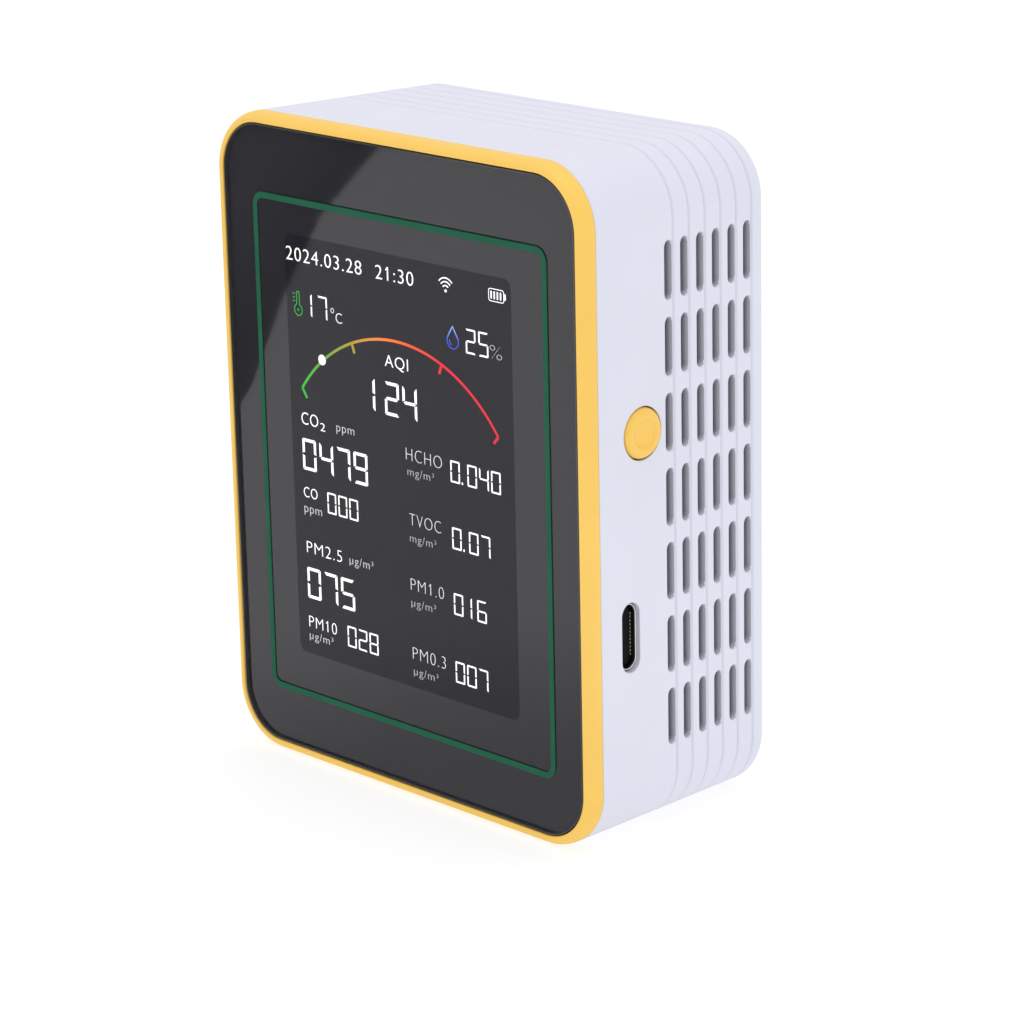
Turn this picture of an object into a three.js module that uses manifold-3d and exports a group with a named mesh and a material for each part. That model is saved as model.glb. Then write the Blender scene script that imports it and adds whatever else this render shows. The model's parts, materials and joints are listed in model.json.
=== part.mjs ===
// A small air quality monitor: a white grooved case with slotted vents on both sides, a yellow bezel round
// a smoked lens, a push button and a USB-C socket on the right side, and the display, board, battery and
// sensors inside. Millimetres, +Z up, front towards -Y, origin at the middle of the base.
import * as THREE from "three";
import { mergeVertices } from "three/addons/utils/BufferGeometryUtils.js";
import Module from "manifold-3d";

const wasm = await Module();
wasm.setup();

// ---- Driving dimensions -------------------------------------------------------------------------

const WIDTH = 70;
const DEPTH = 35;
const HEIGHT = 90;
const CORNER_RADIUS = 8.5;
const WALL = 2;
const FRONT = -DEPTH / 2;
const BACK = DEPTH / 2;
const RIGHT = WIDTH / 2;
const MID_HEIGHT = HEIGHT / 2;
const INNER_BACK = BACK - WALL;

// Bezel and lens
const BEZEL_BACK = FRONT + 2.4;
const BEZEL_EDGE_RADIUS = 1.4;
const LENS_INSET = 1.55;
const LENS_RECESS = 0.2;
const LENS_THICKNESS = 1.2;
const TAPE_THICKNESS = 0.16;
const LEDGE_FRONT = FRONT + LENS_RECESS + LENS_THICKNESS + 0.2;
const TONGUE_BACK = BEZEL_BACK + 1.75;
const WINDOW_HALF_WIDTH = 25.5;
const WINDOW_BOTTOM = 8.8;
const WINDOW_TOP = 78.8;

// Rear shell: its sides and top draw in a little towards the back, and its base is level
const SHELL_FRONT = BEZEL_BACK + 0.1;
const SIDE_TAPER = 0.037;
const TOP_TAPER = 0.016;
const BACK_EDGE_RADIUS = 2;
const GROOVES = 6;
const GROOVE_PITCH = 3.03;
const FIRST_GROOVE = -0.42;
const GROOVE_WIDTH = 1;
const GROOVE_DEPTH = 0.32;
const SLOT_ROWS = 7;
const SLOT_PITCH = 9.88;
const SLOT_LENGTH = 7.95;
const SLOT_WIDTH = 1.55;
const FIRST_SLOT = -1.72;
const SLOTS_MID_HEIGHT = 45.27;
const LABEL_WIDTH = 40;
const LABEL_HEIGHT = 26;
const LABEL_RECESS = 0.3;
const THROUGH_WALL = RIGHT - WALL - 2;
const RAIL_FRONT = 8;

// Screws: the case screws pass through the shell's wells into the bezel's bosses
const BOSS_X = 29;
const BOSS_FROM_END = 6.2;
const BOSS_HOLE_FRONT = -14;
const BEZEL_BOSS_RADIUS = 2.8;
const WELL_FLOOR = -5;
const WELL_RADIUS = 2.3;
const SHELL_BOSS_FRONT = -8;
const SHELL_BOSS_RADIUS = 3.5;
const POST_X = 28.2;
const POST_HEIGHTS = [17, 72];
const POST_RADIUS = 2.3;
const POST_HOLE_FRONT = -15.2;
const SCREW_RADIUS = 1.1;
const BOARD_SCREW_RADIUS = 0.97;

// Display
const SCREEN_HEIGHT = 44.5;
const GLASS_FRONT = LEDGE_FRONT + 0.35;
const GLASS_BACK = GLASS_FRONT + 1.6;
const BACKLIGHT_BACK = GLASS_BACK + 1.45;

// Main board
const BOARD_BACK = -11.05;
const BOARD_FRONT = BOARD_BACK - 1.2;
const BOARD_X = 31;
const BOARD_BOTTOM = 5;
const BOARD_TOP = 85;
const ON_BOARD = BOARD_BACK + 0.03;

// Button and its switch, on an axis along X
const BUTTON_Y = -6.85;
const BUTTON_HEIGHT = 54.7;
const BUTTON_RADIUS = 3.45;
const BUTTON_PROUD = 0.5;

// USB-C socket, on an axis along X
const USB_Y = BOARD_BACK + 1.63;
const USB_HEIGHT = 28.2;
const USB_SHELL_WIDTH = 8.94;
const USB_SHELL_THICKNESS = 3.2;
const USB_MOUTH = 34.1;
const USB_LENGTH = 7.85;
const USB_CUT_WIDTH = 9.35;
const USB_CUT_THICKNESS = 3.6;
const USB_CUT_RADIUS = 1.75;

// Particle sensor and its fan, on an axis along Y
const PM_HALF_WIDTH = 19;
const PM_BOTTOM = 7;
const PM_TOP = 43;
const PM_FRONT = 3.2;
const PM_BACK = INNER_BACK - 0.3;
const PM_LID_BACK = PM_FRONT + 1.15;
const PM_FLOOR = PM_BACK - 1.2;
const FAN_X = -6.5;
const FAN_HEIGHT = 25;
const FAN_BLADES = 7;

// Battery
const BATTERY_FRONT = 9.2;
const BATTERY_BACK = INNER_BACK - 0.3;
const BATTERY_BOTTOM = 46;
const BATTERY_TOP = 84;

// ---- Shape helpers ------------------------------------------------------------------------------

const EPS = 0.5;

// A closed geometry as a solid that can be cut and joined.
function toSolid(geometry) {
  const bare = geometry.index ? geometry.toNonIndexed() : geometry.clone();
  bare.deleteAttribute("normal");
  bare.deleteAttribute("uv");
  const merged = mergeVertices(bare, 1e-3);
  return new wasm.Manifold(
    new wasm.Mesh({
      numProp: 3,
      vertProperties: merged.attributes.position.array,
      triVerts: new Uint32Array(merged.index.array),
    }),
  );
}

function toGeometry(solid) {
  const mesh = solid.getMesh();
  const geometry = new THREE.BufferGeometry();
  geometry.setAttribute("position", new THREE.BufferAttribute(mesh.vertProperties, 3));
  geometry.setIndex(new THREE.BufferAttribute(mesh.triVerts, 1));
  const flat = geometry.toNonIndexed();
  flat.computeVertexNormals();
  return flat;
}

// Base geometry with others added, then others taken away.
function shaped(base, { add = [], cut = [] }) {
  const joined = add.reduce((solid, piece) => solid.add(toSolid(piece)), toSolid(base));
  return toGeometry(cut.reduce((solid, piece) => solid.subtract(toSolid(piece)), joined));
}

function box(x0, x1, y0, y1, z0, z1) {
  const geometry = new THREE.BoxGeometry(x1 - x0, y1 - y0, z1 - z0);
  return geometry.translate((x0 + x1) / 2, (y0 + y1) / 2, (z0 + z1) / 2);
}

// A rod along Y at (x, z), or along X at (y, z).
function rodY(radius, x, z, y0, y1, segments = 24) {
  const geometry = new THREE.CylinderGeometry(radius, radius, y1 - y0, segments);
  return geometry.translate(x, (y0 + y1) / 2, z);
}

function rodX(radius, y, z, x0, x1, segments = 24) {
  const geometry = new THREE.CylinderGeometry(radius, radius, x1 - x0, segments);
  return geometry.rotateZ(Math.PI / 2).translate((x0 + x1) / 2, y, z);
}

// A rectangle with round corners, centred on (cx, cy).
function roundedRect(width, height, radius, cx = 0, cy = 0) {
  const right = cx + width / 2 - radius;
  const left = cx - width / 2 + radius;
  const top = cy + height / 2 - radius;
  const bottom = cy - height / 2 + radius;
  const shape = new THREE.Shape();
  shape.absarc(right, bottom, radius, -Math.PI / 2, 0);
  shape.absarc(right, top, radius, 0, Math.PI / 2);
  shape.absarc(left, top, radius, Math.PI / 2, Math.PI);
  shape.absarc(left, bottom, radius, Math.PI, Math.PI * 1.5);
  return shape;
}

// A shape drawn in (x, z) made into a plate from y0 back to y1.
function plate(shape, y0, y1, curveSegments = 6) {
  const geometry = new THREE.ExtrudeGeometry(shape, { depth: y1 - y0, bevelEnabled: false, curveSegments });
  return geometry.rotateX(Math.PI / 2).translate(0, y1, 0);
}

// A shape drawn in (y, z) made into a bar from x0 across to x1.
function bar(shape, x0, x1, curveSegments = 6) {
  const geometry = new THREE.ExtrudeGeometry(shape, { depth: x1 - x0, bevelEnabled: false, curveSegments });
  return geometry.rotateX(Math.PI / 2).rotateZ(Math.PI / 2).translate(x0, 0, 0);
}

// Points round a rectangle with round corners, counter-clockwise as seen from the front.
function outline(width, height, radius, segments) {
  const corners = [
    [1, -1, -Math.PI / 2],
    [1, 1, 0],
    [-1, 1, Math.PI / 2],
    [-1, -1, Math.PI],
  ];
  return corners.flatMap(([sideX, sideZ, start]) =>
    Array.from({ length: segments + 1 }, (_, i) => {
      const angle = start + (i / segments) * (Math.PI / 2);
      return [
        sideX * (width / 2 - radius) + radius * Math.cos(angle),
        sideZ * (height / 2 - radius) + radius * Math.sin(angle),
      ];
    }),
  );
}

// A body whose section is a rounded rectangle, set in by a given amount at each depth y of its profile. The
// sides and top of a tapered body draw in from SHELL_FRONT back.
function stackedBody({ width, height, radius, profile, cz, tapered = false, segments = 7 }) {
  const rings = profile.map(([y, inset]) => {
    const run = tapered ? y - SHELL_FRONT : 0;
    const drop = TOP_TAPER * run;
    const ringWidth = width - 2 * inset - 2 * SIDE_TAPER * run;
    const ringHeight = height - 2 * inset - drop;
    const ring = outline(ringWidth, ringHeight, radius - inset, segments);
    return ring.map(([x, z]) => [x, y, z + cz - drop / 2]);
  });
  const count = rings[0].length;
  const positions = rings.flat();
  const index = [];
  for (let ring = 0; ring < rings.length - 1; ring++) {
    for (let i = 0; i < count; i++) {
      const front = ring * count + i;
      const frontNext = ring * count + ((i + 1) % count);
      index.push(front, front + count, frontNext);
      index.push(frontNext, front + count, frontNext + count);
    }
  }
  const frontCentre = positions.push([0, profile[0][0], cz]) - 1;
  const backCentre = positions.push([0, profile.at(-1)[0], cz]) - 1;
  const lastRing = (rings.length - 1) * count;
  for (let i = 0; i < count; i++) {
    const next = (i + 1) % count;
    index.push(frontCentre, i, next);
    index.push(backCentre, lastRing + next, lastRing + i);
  }
  const geometry = new THREE.BufferGeometry();
  geometry.setAttribute("position", new THREE.Float32BufferAttribute(positions.flat(), 3));
  geometry.setIndex(index);
  return geometry;
}

// Depth and inset of a quarter-round edge that ends at depth y, from the full section inwards.
function roundedEdge(y, radius, towards, steps = 3) {
  return Array.from({ length: steps + 1 }, (_, i) => {
    const angle = (i / steps) * (Math.PI / 2);
    return [y - towards * radius * (1 - Math.sin(angle)), radius * (1 - Math.cos(angle))];
  });
}

// A flat strip of the given thickness along a smooth line of (y, z) points, from x0 across to x1.
function strip(points, thickness, x0, x1, steps) {
  const curve = new THREE.CatmullRomCurve3(
    points.map(([y, z]) => new THREE.Vector3(y, z, 0)),
    false,
    "centripetal",
  );
  const edge = (side) =>
    Array.from({ length: steps + 1 }, (_, i) => {
      const at = curve.getPoint(i / steps);
      const along = curve.getTangent(i / steps);
      const off = (side * thickness) / 2;
      return new THREE.Vector2(at.x - along.y * off, at.y + along.x * off);
    });
  return bar(new THREE.Shape([...edge(-1), ...edge(1).reverse()]), x0, x1);
}

// A round wire through the points.
function wire(points, radius, steps) {
  const route = new THREE.CatmullRomCurve3(points.map((p) => new THREE.Vector3(...p)));
  const section = new THREE.Shape().absarc(0, 0, radius, 0, Math.PI * 2);
  return new THREE.ExtrudeGeometry(section, { steps, extrudePath: route, curveSegments: 4 });
}

// ---- Materials ----------------------------------------------------------------------------------

const finish = (color, roughness, metalness = 0) =>
  new THREE.MeshStandardMaterial({ color, roughness, metalness });

const whiteCase = () => finish(0xdfe1ed, 0.45);
const yellowCase = () => finish(0xffd267, 0.4);
const smokedLens = () => finish(0x2c2c2f, 0.08);
const blackPlastic = () => finish(0x1b1b1d, 0.5);
const greenBoard = () => finish(0x0f5a36, 0.5);
const blackBoard = () => finish(0x16181b, 0.5);
const steel = () => finish(0xb9bcc2, 0.3, 1);
const gold = () => finish(0xd6a84b, 0.3, 1);
const foam = () => finish(0x202022, 0.95);
const whitePlastic = () => finish(0xf0efe8, 0.5);
const silverPouch = () => finish(0xc9ccd1, 0.35, 0.8);
const copperFilm = () => finish(0xc07a2c, 0.4);

const model = new THREE.Group();

function put(name, geometry, material) {
  const mesh = new THREE.Mesh(geometry, material);
  mesh.name = name;
  model.add(mesh);
}

// ---- Enclosure ----------------------------------------------------------------------------------

const bossPlaces = [
  [-BOSS_X, BOSS_FROM_END],
  [BOSS_X, BOSS_FROM_END],
  [-BOSS_X, HEIGHT - BOSS_FROM_END],
  [BOSS_X, HEIGHT - BOSS_FROM_END],
];
const postPlaces = [-1, 1].flatMap((side) => POST_HEIGHTS.map((z) => [side * POST_X, z]));

function rearShell() {
  const grooves = Array.from({ length: GROOVES }, (_, i) => FIRST_GROOVE + i * GROOVE_PITCH);
  const outer = stackedBody({
    width: WIDTH,
    height: HEIGHT,
    radius: CORNER_RADIUS,
    cz: MID_HEIGHT,
    tapered: true,
    profile: [
      [SHELL_FRONT, 0],
      ...grooves.flatMap((y) => [
        [y - GROOVE_WIDTH / 2, 0],
        [y, GROOVE_DEPTH],
        [y + GROOVE_WIDTH / 2, 0],
      ]),
      ...roundedEdge(BACK, BACK_EDGE_RADIUS, 1),
    ],
  });
  const cavity = stackedBody({
    width: WIDTH,
    height: HEIGHT,
    radius: CORNER_RADIUS,
    cz: MID_HEIGHT,
    tapered: true,
    profile: [
      [SHELL_FRONT - EPS, WALL],
      [INNER_BACK, WALL],
    ],
  });
  const atBosses = (radius, y0, y1, segments) =>
    bossPlaces.map(([x, z]) => rodY(radius, x, z, y0, y1, segments));
  const bosses = atBosses(SHELL_BOSS_RADIUS, SHELL_BOSS_FRONT, INNER_BACK + EPS, 16);
  const wells = atBosses(WELL_RADIUS, WELL_FLOOR, BACK + EPS, 16);
  const screwHoles = atBosses(SCREW_RADIUS + 0.2, SHELL_BOSS_FRONT - EPS, WELL_FLOOR + EPS, 12);
  const rails = [-1, 1].map((side) => {
    const x = side * (PM_HALF_WIDTH + 0.9);
    return box(x - 0.6, x + 0.6, RAIL_FRONT, INNER_BACK + EPS, PM_BOTTOM + 4, PM_TOP - 4);
  });
  const slots = [];
  for (let column = 0; column < GROOVES; column++) {
    for (let row = 0; row < SLOT_ROWS; row++) {
      const y = FIRST_SLOT + column * GROOVE_PITCH;
      const z = SLOTS_MID_HEIGHT + (row - (SLOT_ROWS - 1) / 2) * SLOT_PITCH;
      const shape = roundedRect(SLOT_WIDTH, SLOT_LENGTH, SLOT_WIDTH / 2 - 0.001, y, z);
      slots.push(bar(shape, THROUGH_WALL, RIGHT + EPS, 1));
      slots.push(bar(shape, -RIGHT - EPS, -THROUGH_WALL, 1));
    }
  }
  const buttonBore = rodX(BUTTON_RADIUS + 0.15, BUTTON_Y, BUTTON_HEIGHT, THROUGH_WALL, RIGHT + EPS);
  const usbOpening = roundedRect(USB_CUT_THICKNESS, USB_CUT_WIDTH, USB_CUT_RADIUS, USB_Y, USB_HEIGHT);
  const usbCut = bar(usbOpening, THROUGH_WALL, RIGHT + EPS, 3);
  const label = roundedRect(LABEL_WIDTH, LABEL_HEIGHT, 2, 0, MID_HEIGHT);
  const labelRecess = plate(label, BACK - LABEL_RECESS, BACK + EPS, 3);
  const hollow = toSolid(outer).subtract(toSolid(cavity));
  return shaped(toGeometry(hollow), {
    add: [...bosses, ...rails],
    cut: [...wells, ...screwHoles, ...slots, buttonBore, usbCut, labelRecess],
  });
}

function frontBezel() {
  const outer = stackedBody({
    width: WIDTH,
    height: HEIGHT,
    radius: CORNER_RADIUS,
    cz: MID_HEIGHT,
    profile: [...roundedEdge(FRONT, BEZEL_EDGE_RADIUS, -1).reverse(), [BEZEL_BACK, 0]],
  });
  const ring = (inset, y0, y1) => {
    const shape = roundedRect(WIDTH - 2 * inset, HEIGHT - 2 * inset, CORNER_RADIUS - inset, 0, MID_HEIGHT);
    return plate(shape, y0, y1, 4);
  };
  const tongue = toGeometry(
    toSolid(ring(WALL + 0.2, BEZEL_BACK - EPS, TONGUE_BACK)).subtract(
      toSolid(ring(WALL + 1.4, BEZEL_BACK - 2 * EPS, TONGUE_BACK + EPS)),
    ),
  );
  const rodsAt = (places, radius, y0, y1, segments) =>
    places.map(([x, z]) => rodY(radius, x, z, y0, y1, segments));
  const bosses = rodsAt(bossPlaces, BEZEL_BOSS_RADIUS, BEZEL_BACK - EPS, SHELL_BOSS_FRONT - 0.05, 16);
  const posts = rodsAt(postPlaces, POST_RADIUS, BEZEL_BACK - EPS, BOARD_FRONT - 0.03, 16);
  const bossHoles = rodsAt(bossPlaces, SCREW_RADIUS + 0.07, BOSS_HOLE_FRONT, SHELL_BOSS_FRONT, 12);
  const postHoles = rodsAt(postPlaces, BOARD_SCREW_RADIUS + 0.07, POST_HOLE_FRONT, BOARD_FRONT, 12);
  const lensPocket = ring(LENS_INSET - 0.15, FRONT - EPS, LEDGE_FRONT);
  const window = box(
    -WINDOW_HALF_WIDTH,
    WINDOW_HALF_WIDTH,
    LEDGE_FRONT - EPS,
    BEZEL_BACK + EPS,
    WINDOW_BOTTOM,
    WINDOW_TOP,
  );
  return shaped(outer, {
    add: [tongue, ...bosses, ...posts],
    cut: [lensPocket, window, ...bossHoles, ...postHoles],
  });
}

function lensTape() {
  const inset = LENS_INSET + 0.25;
  const outer = roundedRect(WIDTH - 2 * inset, HEIGHT - 2 * inset, CORNER_RADIUS - inset, 0, MID_HEIGHT);
  outer.holes.push(roundedRect(54, 73, 1, 0, SCREEN_HEIGHT));
  const back = LEDGE_FRONT - 0.02;
  return plate(outer, back - TAPE_THICKNESS, back, 3);
}

// A pan-head screw along Y: its head at the back, its shank towards the front, with a cross recess.
function screw(x, z, seat, headRadius, headHeight, shankRadius, shankLength) {
  const profile = [
    [0, seat - shankLength],
    [shankRadius * 0.5, seat - shankLength],
    [shankRadius, seat - shankLength + 0.8],
    [shankRadius, seat],
    [headRadius, seat],
    [headRadius, seat + headHeight * 0.6],
    [headRadius * 0.75, seat + headHeight],
    [0, seat + headHeight],
  ].map(([r, y]) => new THREE.Vector2(r, y));
  const body = new THREE.LatheGeometry(profile, 12).translate(x, 0, z);
  const top = seat + headHeight;
  const long = headRadius * 0.6;
  const recess = [
    box(x - long, x + long, top - 0.7, top + EPS, z - 0.25, z + 0.25),
    box(x - 0.25, x + 0.25, top - 0.7, top + EPS, z - long, z + long),
  ];
  return shaped(body, { cut: recess });
}

put("rear_shell", rearShell(), whiteCase());
put("front_bezel", frontBezel(), yellowCase());
put(
  "front_lens",
  stackedBody({
    width: WIDTH - 2 * LENS_INSET,
    height: HEIGHT - 2 * LENS_INSET,
    radius: CORNER_RADIUS - LENS_INSET,
    cz: MID_HEIGHT,
    profile: [
      [FRONT + LENS_RECESS, 0.2],
      [FRONT + LENS_RECESS + 0.2, 0],
      [FRONT + LENS_RECESS + LENS_THICKNESS, 0],
    ],
  }),
  smokedLens(),
);
put("lens_tape", lensTape(), foam());
bossPlaces.forEach(([x, z], i) => {
  put(`case_screw_${i + 1}`, screw(x, z, WELL_FLOOR, 2, 1.6, SCREW_RADIUS, 8.5), steel());
});
postPlaces.forEach(([x, z], i) => {
  put(`pcb_screw_${i + 1}`, screw(x, z, BOARD_BACK + 0.02, 1.9, 1.3, BOARD_SCREW_RADIUS, 4), steel());
});

// ---- Display ------------------------------------------------------------------------------------

function displayGasket() {
  const outer = roundedRect(48, 66.8, 0.5, 0, SCREEN_HEIGHT - 0.6);
  outer.holes.push(roundedRect(44.8, 60.8, 1.2, 0, SCREEN_HEIGHT));
  return plate(outer, FRONT + LENS_RECESS + LENS_THICKNESS + 0.02, GLASS_FRONT - 0.02, 3);
}

// The film leaves the glass's lower ledge, turns under the board's edge and rises into its socket.
const flexRoute = [
  [GLASS_BACK + 0.12, 12.2],
  [GLASS_BACK + 0.12, 8],
  [GLASS_BACK + 0.2, 5.6],
  [BOARD_FRONT + 0.5, 4.4],
  [BOARD_BACK + 0.4, 5.6],
  [BOARD_BACK + 0.6, 8],
  [BOARD_BACK + 0.6, 8.7],
];

put("display_gasket", displayGasket(), foam());
put("lcd_glass", box(-24, 24, GLASS_FRONT, GLASS_BACK, 9.6, 77.8), finish(0x0c0d10, 0.1));
put("lcd_backlight", box(-25, 25, GLASS_BACK + 0.03, BACKLIGHT_BACK, 12.8, 77.8), whitePlastic());
put("display_tape", box(-20, 20, BACKLIGHT_BACK + 0.02, BOARD_FRONT - 0.02, 18, 74), foam());
put("lcd_flex", strip(flexRoute, 0.2, -9, 9, 28), copperFilm());
put("fpc_connector", box(-10.5, 10.5, ON_BOARD, ON_BOARD + 1.4, 9, 13), blackPlastic());

// ---- Board and its parts ------------------------------------------------------------------------

function mainBoard() {
  const notchX = 25.6;
  const notch = 4.6;
  const shape = new THREE.Shape();
  shape.moveTo(-notchX, BOARD_BOTTOM);
  shape.lineTo(-10, BOARD_BOTTOM);
  shape.lineTo(-10, BOARD_BOTTOM + 1.6);
  shape.lineTo(10, BOARD_BOTTOM + 1.6);
  shape.lineTo(10, BOARD_BOTTOM);
  shape.lineTo(notchX, BOARD_BOTTOM);
  shape.lineTo(notchX, BOARD_BOTTOM + notch);
  shape.lineTo(BOARD_X, BOARD_BOTTOM + notch);
  shape.lineTo(BOARD_X, BOARD_TOP - notch);
  shape.lineTo(notchX, BOARD_TOP - notch);
  shape.lineTo(notchX, BOARD_TOP);
  shape.lineTo(-notchX, BOARD_TOP);
  shape.lineTo(-notchX, BOARD_TOP - notch);
  shape.lineTo(-BOARD_X, BOARD_TOP - notch);
  shape.lineTo(-BOARD_X, BOARD_BOTTOM + notch);
  shape.lineTo(-notchX, BOARD_BOTTOM + notch);
  for (const [x, z] of postPlaces) {
    shape.holes.push(new THREE.Path().absarc(x, z, 1.1, 0, Math.PI * 2));
  }
  return plate(shape, BOARD_FRONT, BOARD_BACK);
}

function usbShell() {
  const shape = roundedRect(USB_SHELL_THICKNESS, USB_SHELL_WIDTH, 1.55, USB_Y, USB_HEIGHT);
  shape.holes.push(roundedRect(USB_SHELL_THICKNESS - 0.6, USB_SHELL_WIDTH - 0.6, 1.25, USB_Y, USB_HEIGHT));
  return bar(shape, USB_MOUTH - USB_LENGTH, USB_MOUTH, 3);
}

function usbTongue() {
  const block = roundedRect(USB_SHELL_THICKNESS - 0.7, USB_SHELL_WIDTH - 0.7, 1.2, USB_Y, USB_HEIGHT);
  const blockFront = USB_MOUTH - USB_LENGTH + 1.8;
  const halfThick = 0.35;
  const halfWide = 3.35;
  const tongue = box(
    blockFront - EPS,
    USB_MOUTH - 0.7,
    USB_Y - halfThick,
    USB_Y + halfThick,
    USB_HEIGHT - halfWide,
    USB_HEIGHT + halfWide,
  );
  return shaped(bar(block, USB_MOUTH - USB_LENGTH + 0.05, blockFront, 3), { add: [tongue] });
}

// The cap stands a little proud of the case, held in by a flange, with a stem that reaches the switch.
const sideFace = (y) => RIGHT - SIDE_TAPER * (y - SHELL_FRONT);
const BUTTON_FLANGE_FRONT = sideFace(BUTTON_Y + BUTTON_RADIUS + 0.8) - WALL - 0.2;
const STEM_TIP = 29.9;
const SWITCH_FRONT = 28.2;

function powerButton() {
  const face = sideFace(BUTTON_Y) + BUTTON_PROUD;
  const profile = [
    [0, STEM_TIP],
    [1.5, STEM_TIP],
    [1.5, BUTTON_FLANGE_FRONT - 0.8],
    [BUTTON_RADIUS + 0.8, BUTTON_FLANGE_FRONT - 0.8],
    [BUTTON_RADIUS + 0.8, BUTTON_FLANGE_FRONT],
    [BUTTON_RADIUS, BUTTON_FLANGE_FRONT],
    [BUTTON_RADIUS, face - 0.5],
    [BUTTON_RADIUS - 0.15, face - 0.15],
    [BUTTON_RADIUS - 0.5, face],
    [BUTTON_RADIUS - 1.0, face],
    [BUTTON_RADIUS - 1.4, face - 0.2],
    [0, face - 0.28],
  ].map(([r, x]) => new THREE.Vector2(r, x));
  const turned = new THREE.LatheGeometry(profile, 24);
  return turned.rotateZ(-Math.PI / 2).translate(0, BUTTON_Y, BUTTON_HEIGHT);
}

function switchBody() {
  const half = 3;
  const block = box(24.6, SWITCH_FRONT, ON_BOARD, BUTTON_Y + 2.6, BUTTON_HEIGHT - half, BUTTON_HEIGHT + half);
  return shaped(block, { cut: [rodX(1.75, BUTTON_Y, BUTTON_HEIGHT, 26.2, SWITCH_FRONT + EPS)] });
}

put("main_pcb", mainBoard(), greenBoard());
put("usb_c_shell", usbShell(), steel());
put("usb_c_tongue", usbTongue(), blackPlastic());
put("power_button", powerButton(), yellowCase());
put("switch_body", switchBody(), blackPlastic());
put("switch_plunger", rodX(1.6, BUTTON_Y, BUTTON_HEIGHT, 26.9, STEM_TIP - 0.05), whitePlastic());
put("mcu_chip", box(-8, 2, ON_BOARD, ON_BOARD + 1.4, 25, 35), blackPlastic());
put("charger_chip", box(18.3, 23.3, ON_BOARD, ON_BOARD + 1.5, 26.5, 30.5), blackPlastic());
put("wifi_board", box(-8, 8, ON_BOARD, ON_BOARD + 0.8, 61, 84.5), blackBoard());
put("wifi_shield", box(-7, 7, ON_BOARD + 0.83, ON_BOARD + 2.8, 62, 77), steel());

// A can on the board whose face has a round hole in it.
function holedCan(radius, x, z, height, holeRadius, holeDepth) {
  const top = ON_BOARD + height;
  const hole = rodY(holeRadius, x, z, top - holeDepth, top + EPS, 16);
  return shaped(rodY(radius, x, z, ON_BOARD, top), { cut: [hole] });
}

put("buzzer", holedCan(4.8, 14, 19.5, 4.5, 1, 2), blackPlastic());

// ---- Battery ------------------------------------------------------------------------------------

const batteryMid = (BATTERY_BOTTOM + BATTERY_TOP) / 2;
const HEADER_X = -3;
const HEADER_Z = 56;

// A board header that opens to the back, and the plug that sits in it.
function header(x, z, width, height, depth) {
  const shell = box(x - width / 2, x + width / 2, ON_BOARD, ON_BOARD + depth, z - height / 2, z + height / 2);
  const wall = 0.6;
  const pocket = box(
    x - width / 2 + wall,
    x + width / 2 - wall,
    ON_BOARD + 1.2,
    ON_BOARD + depth + EPS,
    z - height / 2 + wall,
    z + height / 2 - wall,
  );
  return shaped(shell, { cut: [pocket] });
}

function plug(x, z, width, height, depth) {
  const clear = 0.7;
  const halfWidth = width / 2 - clear;
  const halfHeight = height / 2 - clear;
  return box(x - halfWidth, x + halfWidth, ON_BOARD + 1.3, ON_BOARD + depth, z - halfHeight, z + halfHeight);
}

function batteryLead(side) {
  const x = HEADER_X + side * 1.1;
  const plugBack = ON_BOARD + 6.85;
  return wire(
    [
      [x, plugBack, HEADER_Z],
      [x, plugBack + 2.2, HEADER_Z - 0.5],
      [x, plugBack + 5.5, HEADER_Z - 5],
      [x + side * 0.5, 4.6, 47],
      [x + side * 1.5, 8.6, 44.6],
      [x + side * 2, 12.2, 44.9],
      [x + side * 2, 12.2, BATTERY_BOTTOM - 0.05],
    ],
    0.55,
    16,
  );
}

put(
  "battery_cell",
  stackedBody({
    width: 34,
    height: BATTERY_TOP - BATTERY_BOTTOM,
    radius: 2.5,
    cz: batteryMid,
    segments: 3,
    profile: [
      [BATTERY_FRONT, 1],
      [BATTERY_FRONT + 1, 0],
      [BATTERY_BACK - 1, 0],
      [BATTERY_BACK, 1],
    ],
  }),
  silverPouch(),
);
put("battery_pad", box(-14, 14, BATTERY_BACK + 0.03, INNER_BACK - 0.03, 50, 80), foam());
put("battery_header", header(HEADER_X, HEADER_Z, 7.8, 5.8, 5.6), whitePlastic());
put("battery_plug", plug(HEADER_X, HEADER_Z, 7.8, 5.8, 6.8), whitePlastic());
put("battery_lead_positive", batteryLead(1), finish(0xb3201c, 0.5));
put("battery_lead_negative", batteryLead(-1), finish(0x151515, 0.5));

// ---- Particle sensor ----------------------------------------------------------------------------

function pmBase() {
  const wall = 1.2;
  const tray = box(-PM_HALF_WIDTH, PM_HALF_WIDTH, PM_LID_BACK + 0.05, PM_BACK, PM_BOTTOM, PM_TOP);
  const pocket = box(
    -PM_HALF_WIDTH + wall,
    PM_HALF_WIDTH - wall,
    PM_FRONT,
    PM_FLOOR,
    PM_BOTTOM + wall,
    PM_TOP - wall,
  );
  const outlet = box(-PM_HALF_WIDTH - EPS, -PM_HALF_WIDTH + 2, 6.5, 11.5, 20, 30);
  return shaped(tray, { cut: [pocket, outlet] });
}

function pmLid() {
  const lid = box(-PM_HALF_WIDTH, PM_HALF_WIDTH, PM_FRONT, PM_LID_BACK, PM_BOTTOM, PM_TOP);
  const inlet = rodY(7.5, FAN_X, FAN_HEIGHT, PM_FRONT - EPS, PM_LID_BACK + EPS);
  const samplePort = box(8, 14, PM_FRONT - EPS, PM_LID_BACK + EPS, 35, 38);
  return shaped(lid, { cut: [inlet, samplePort] });
}

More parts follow.
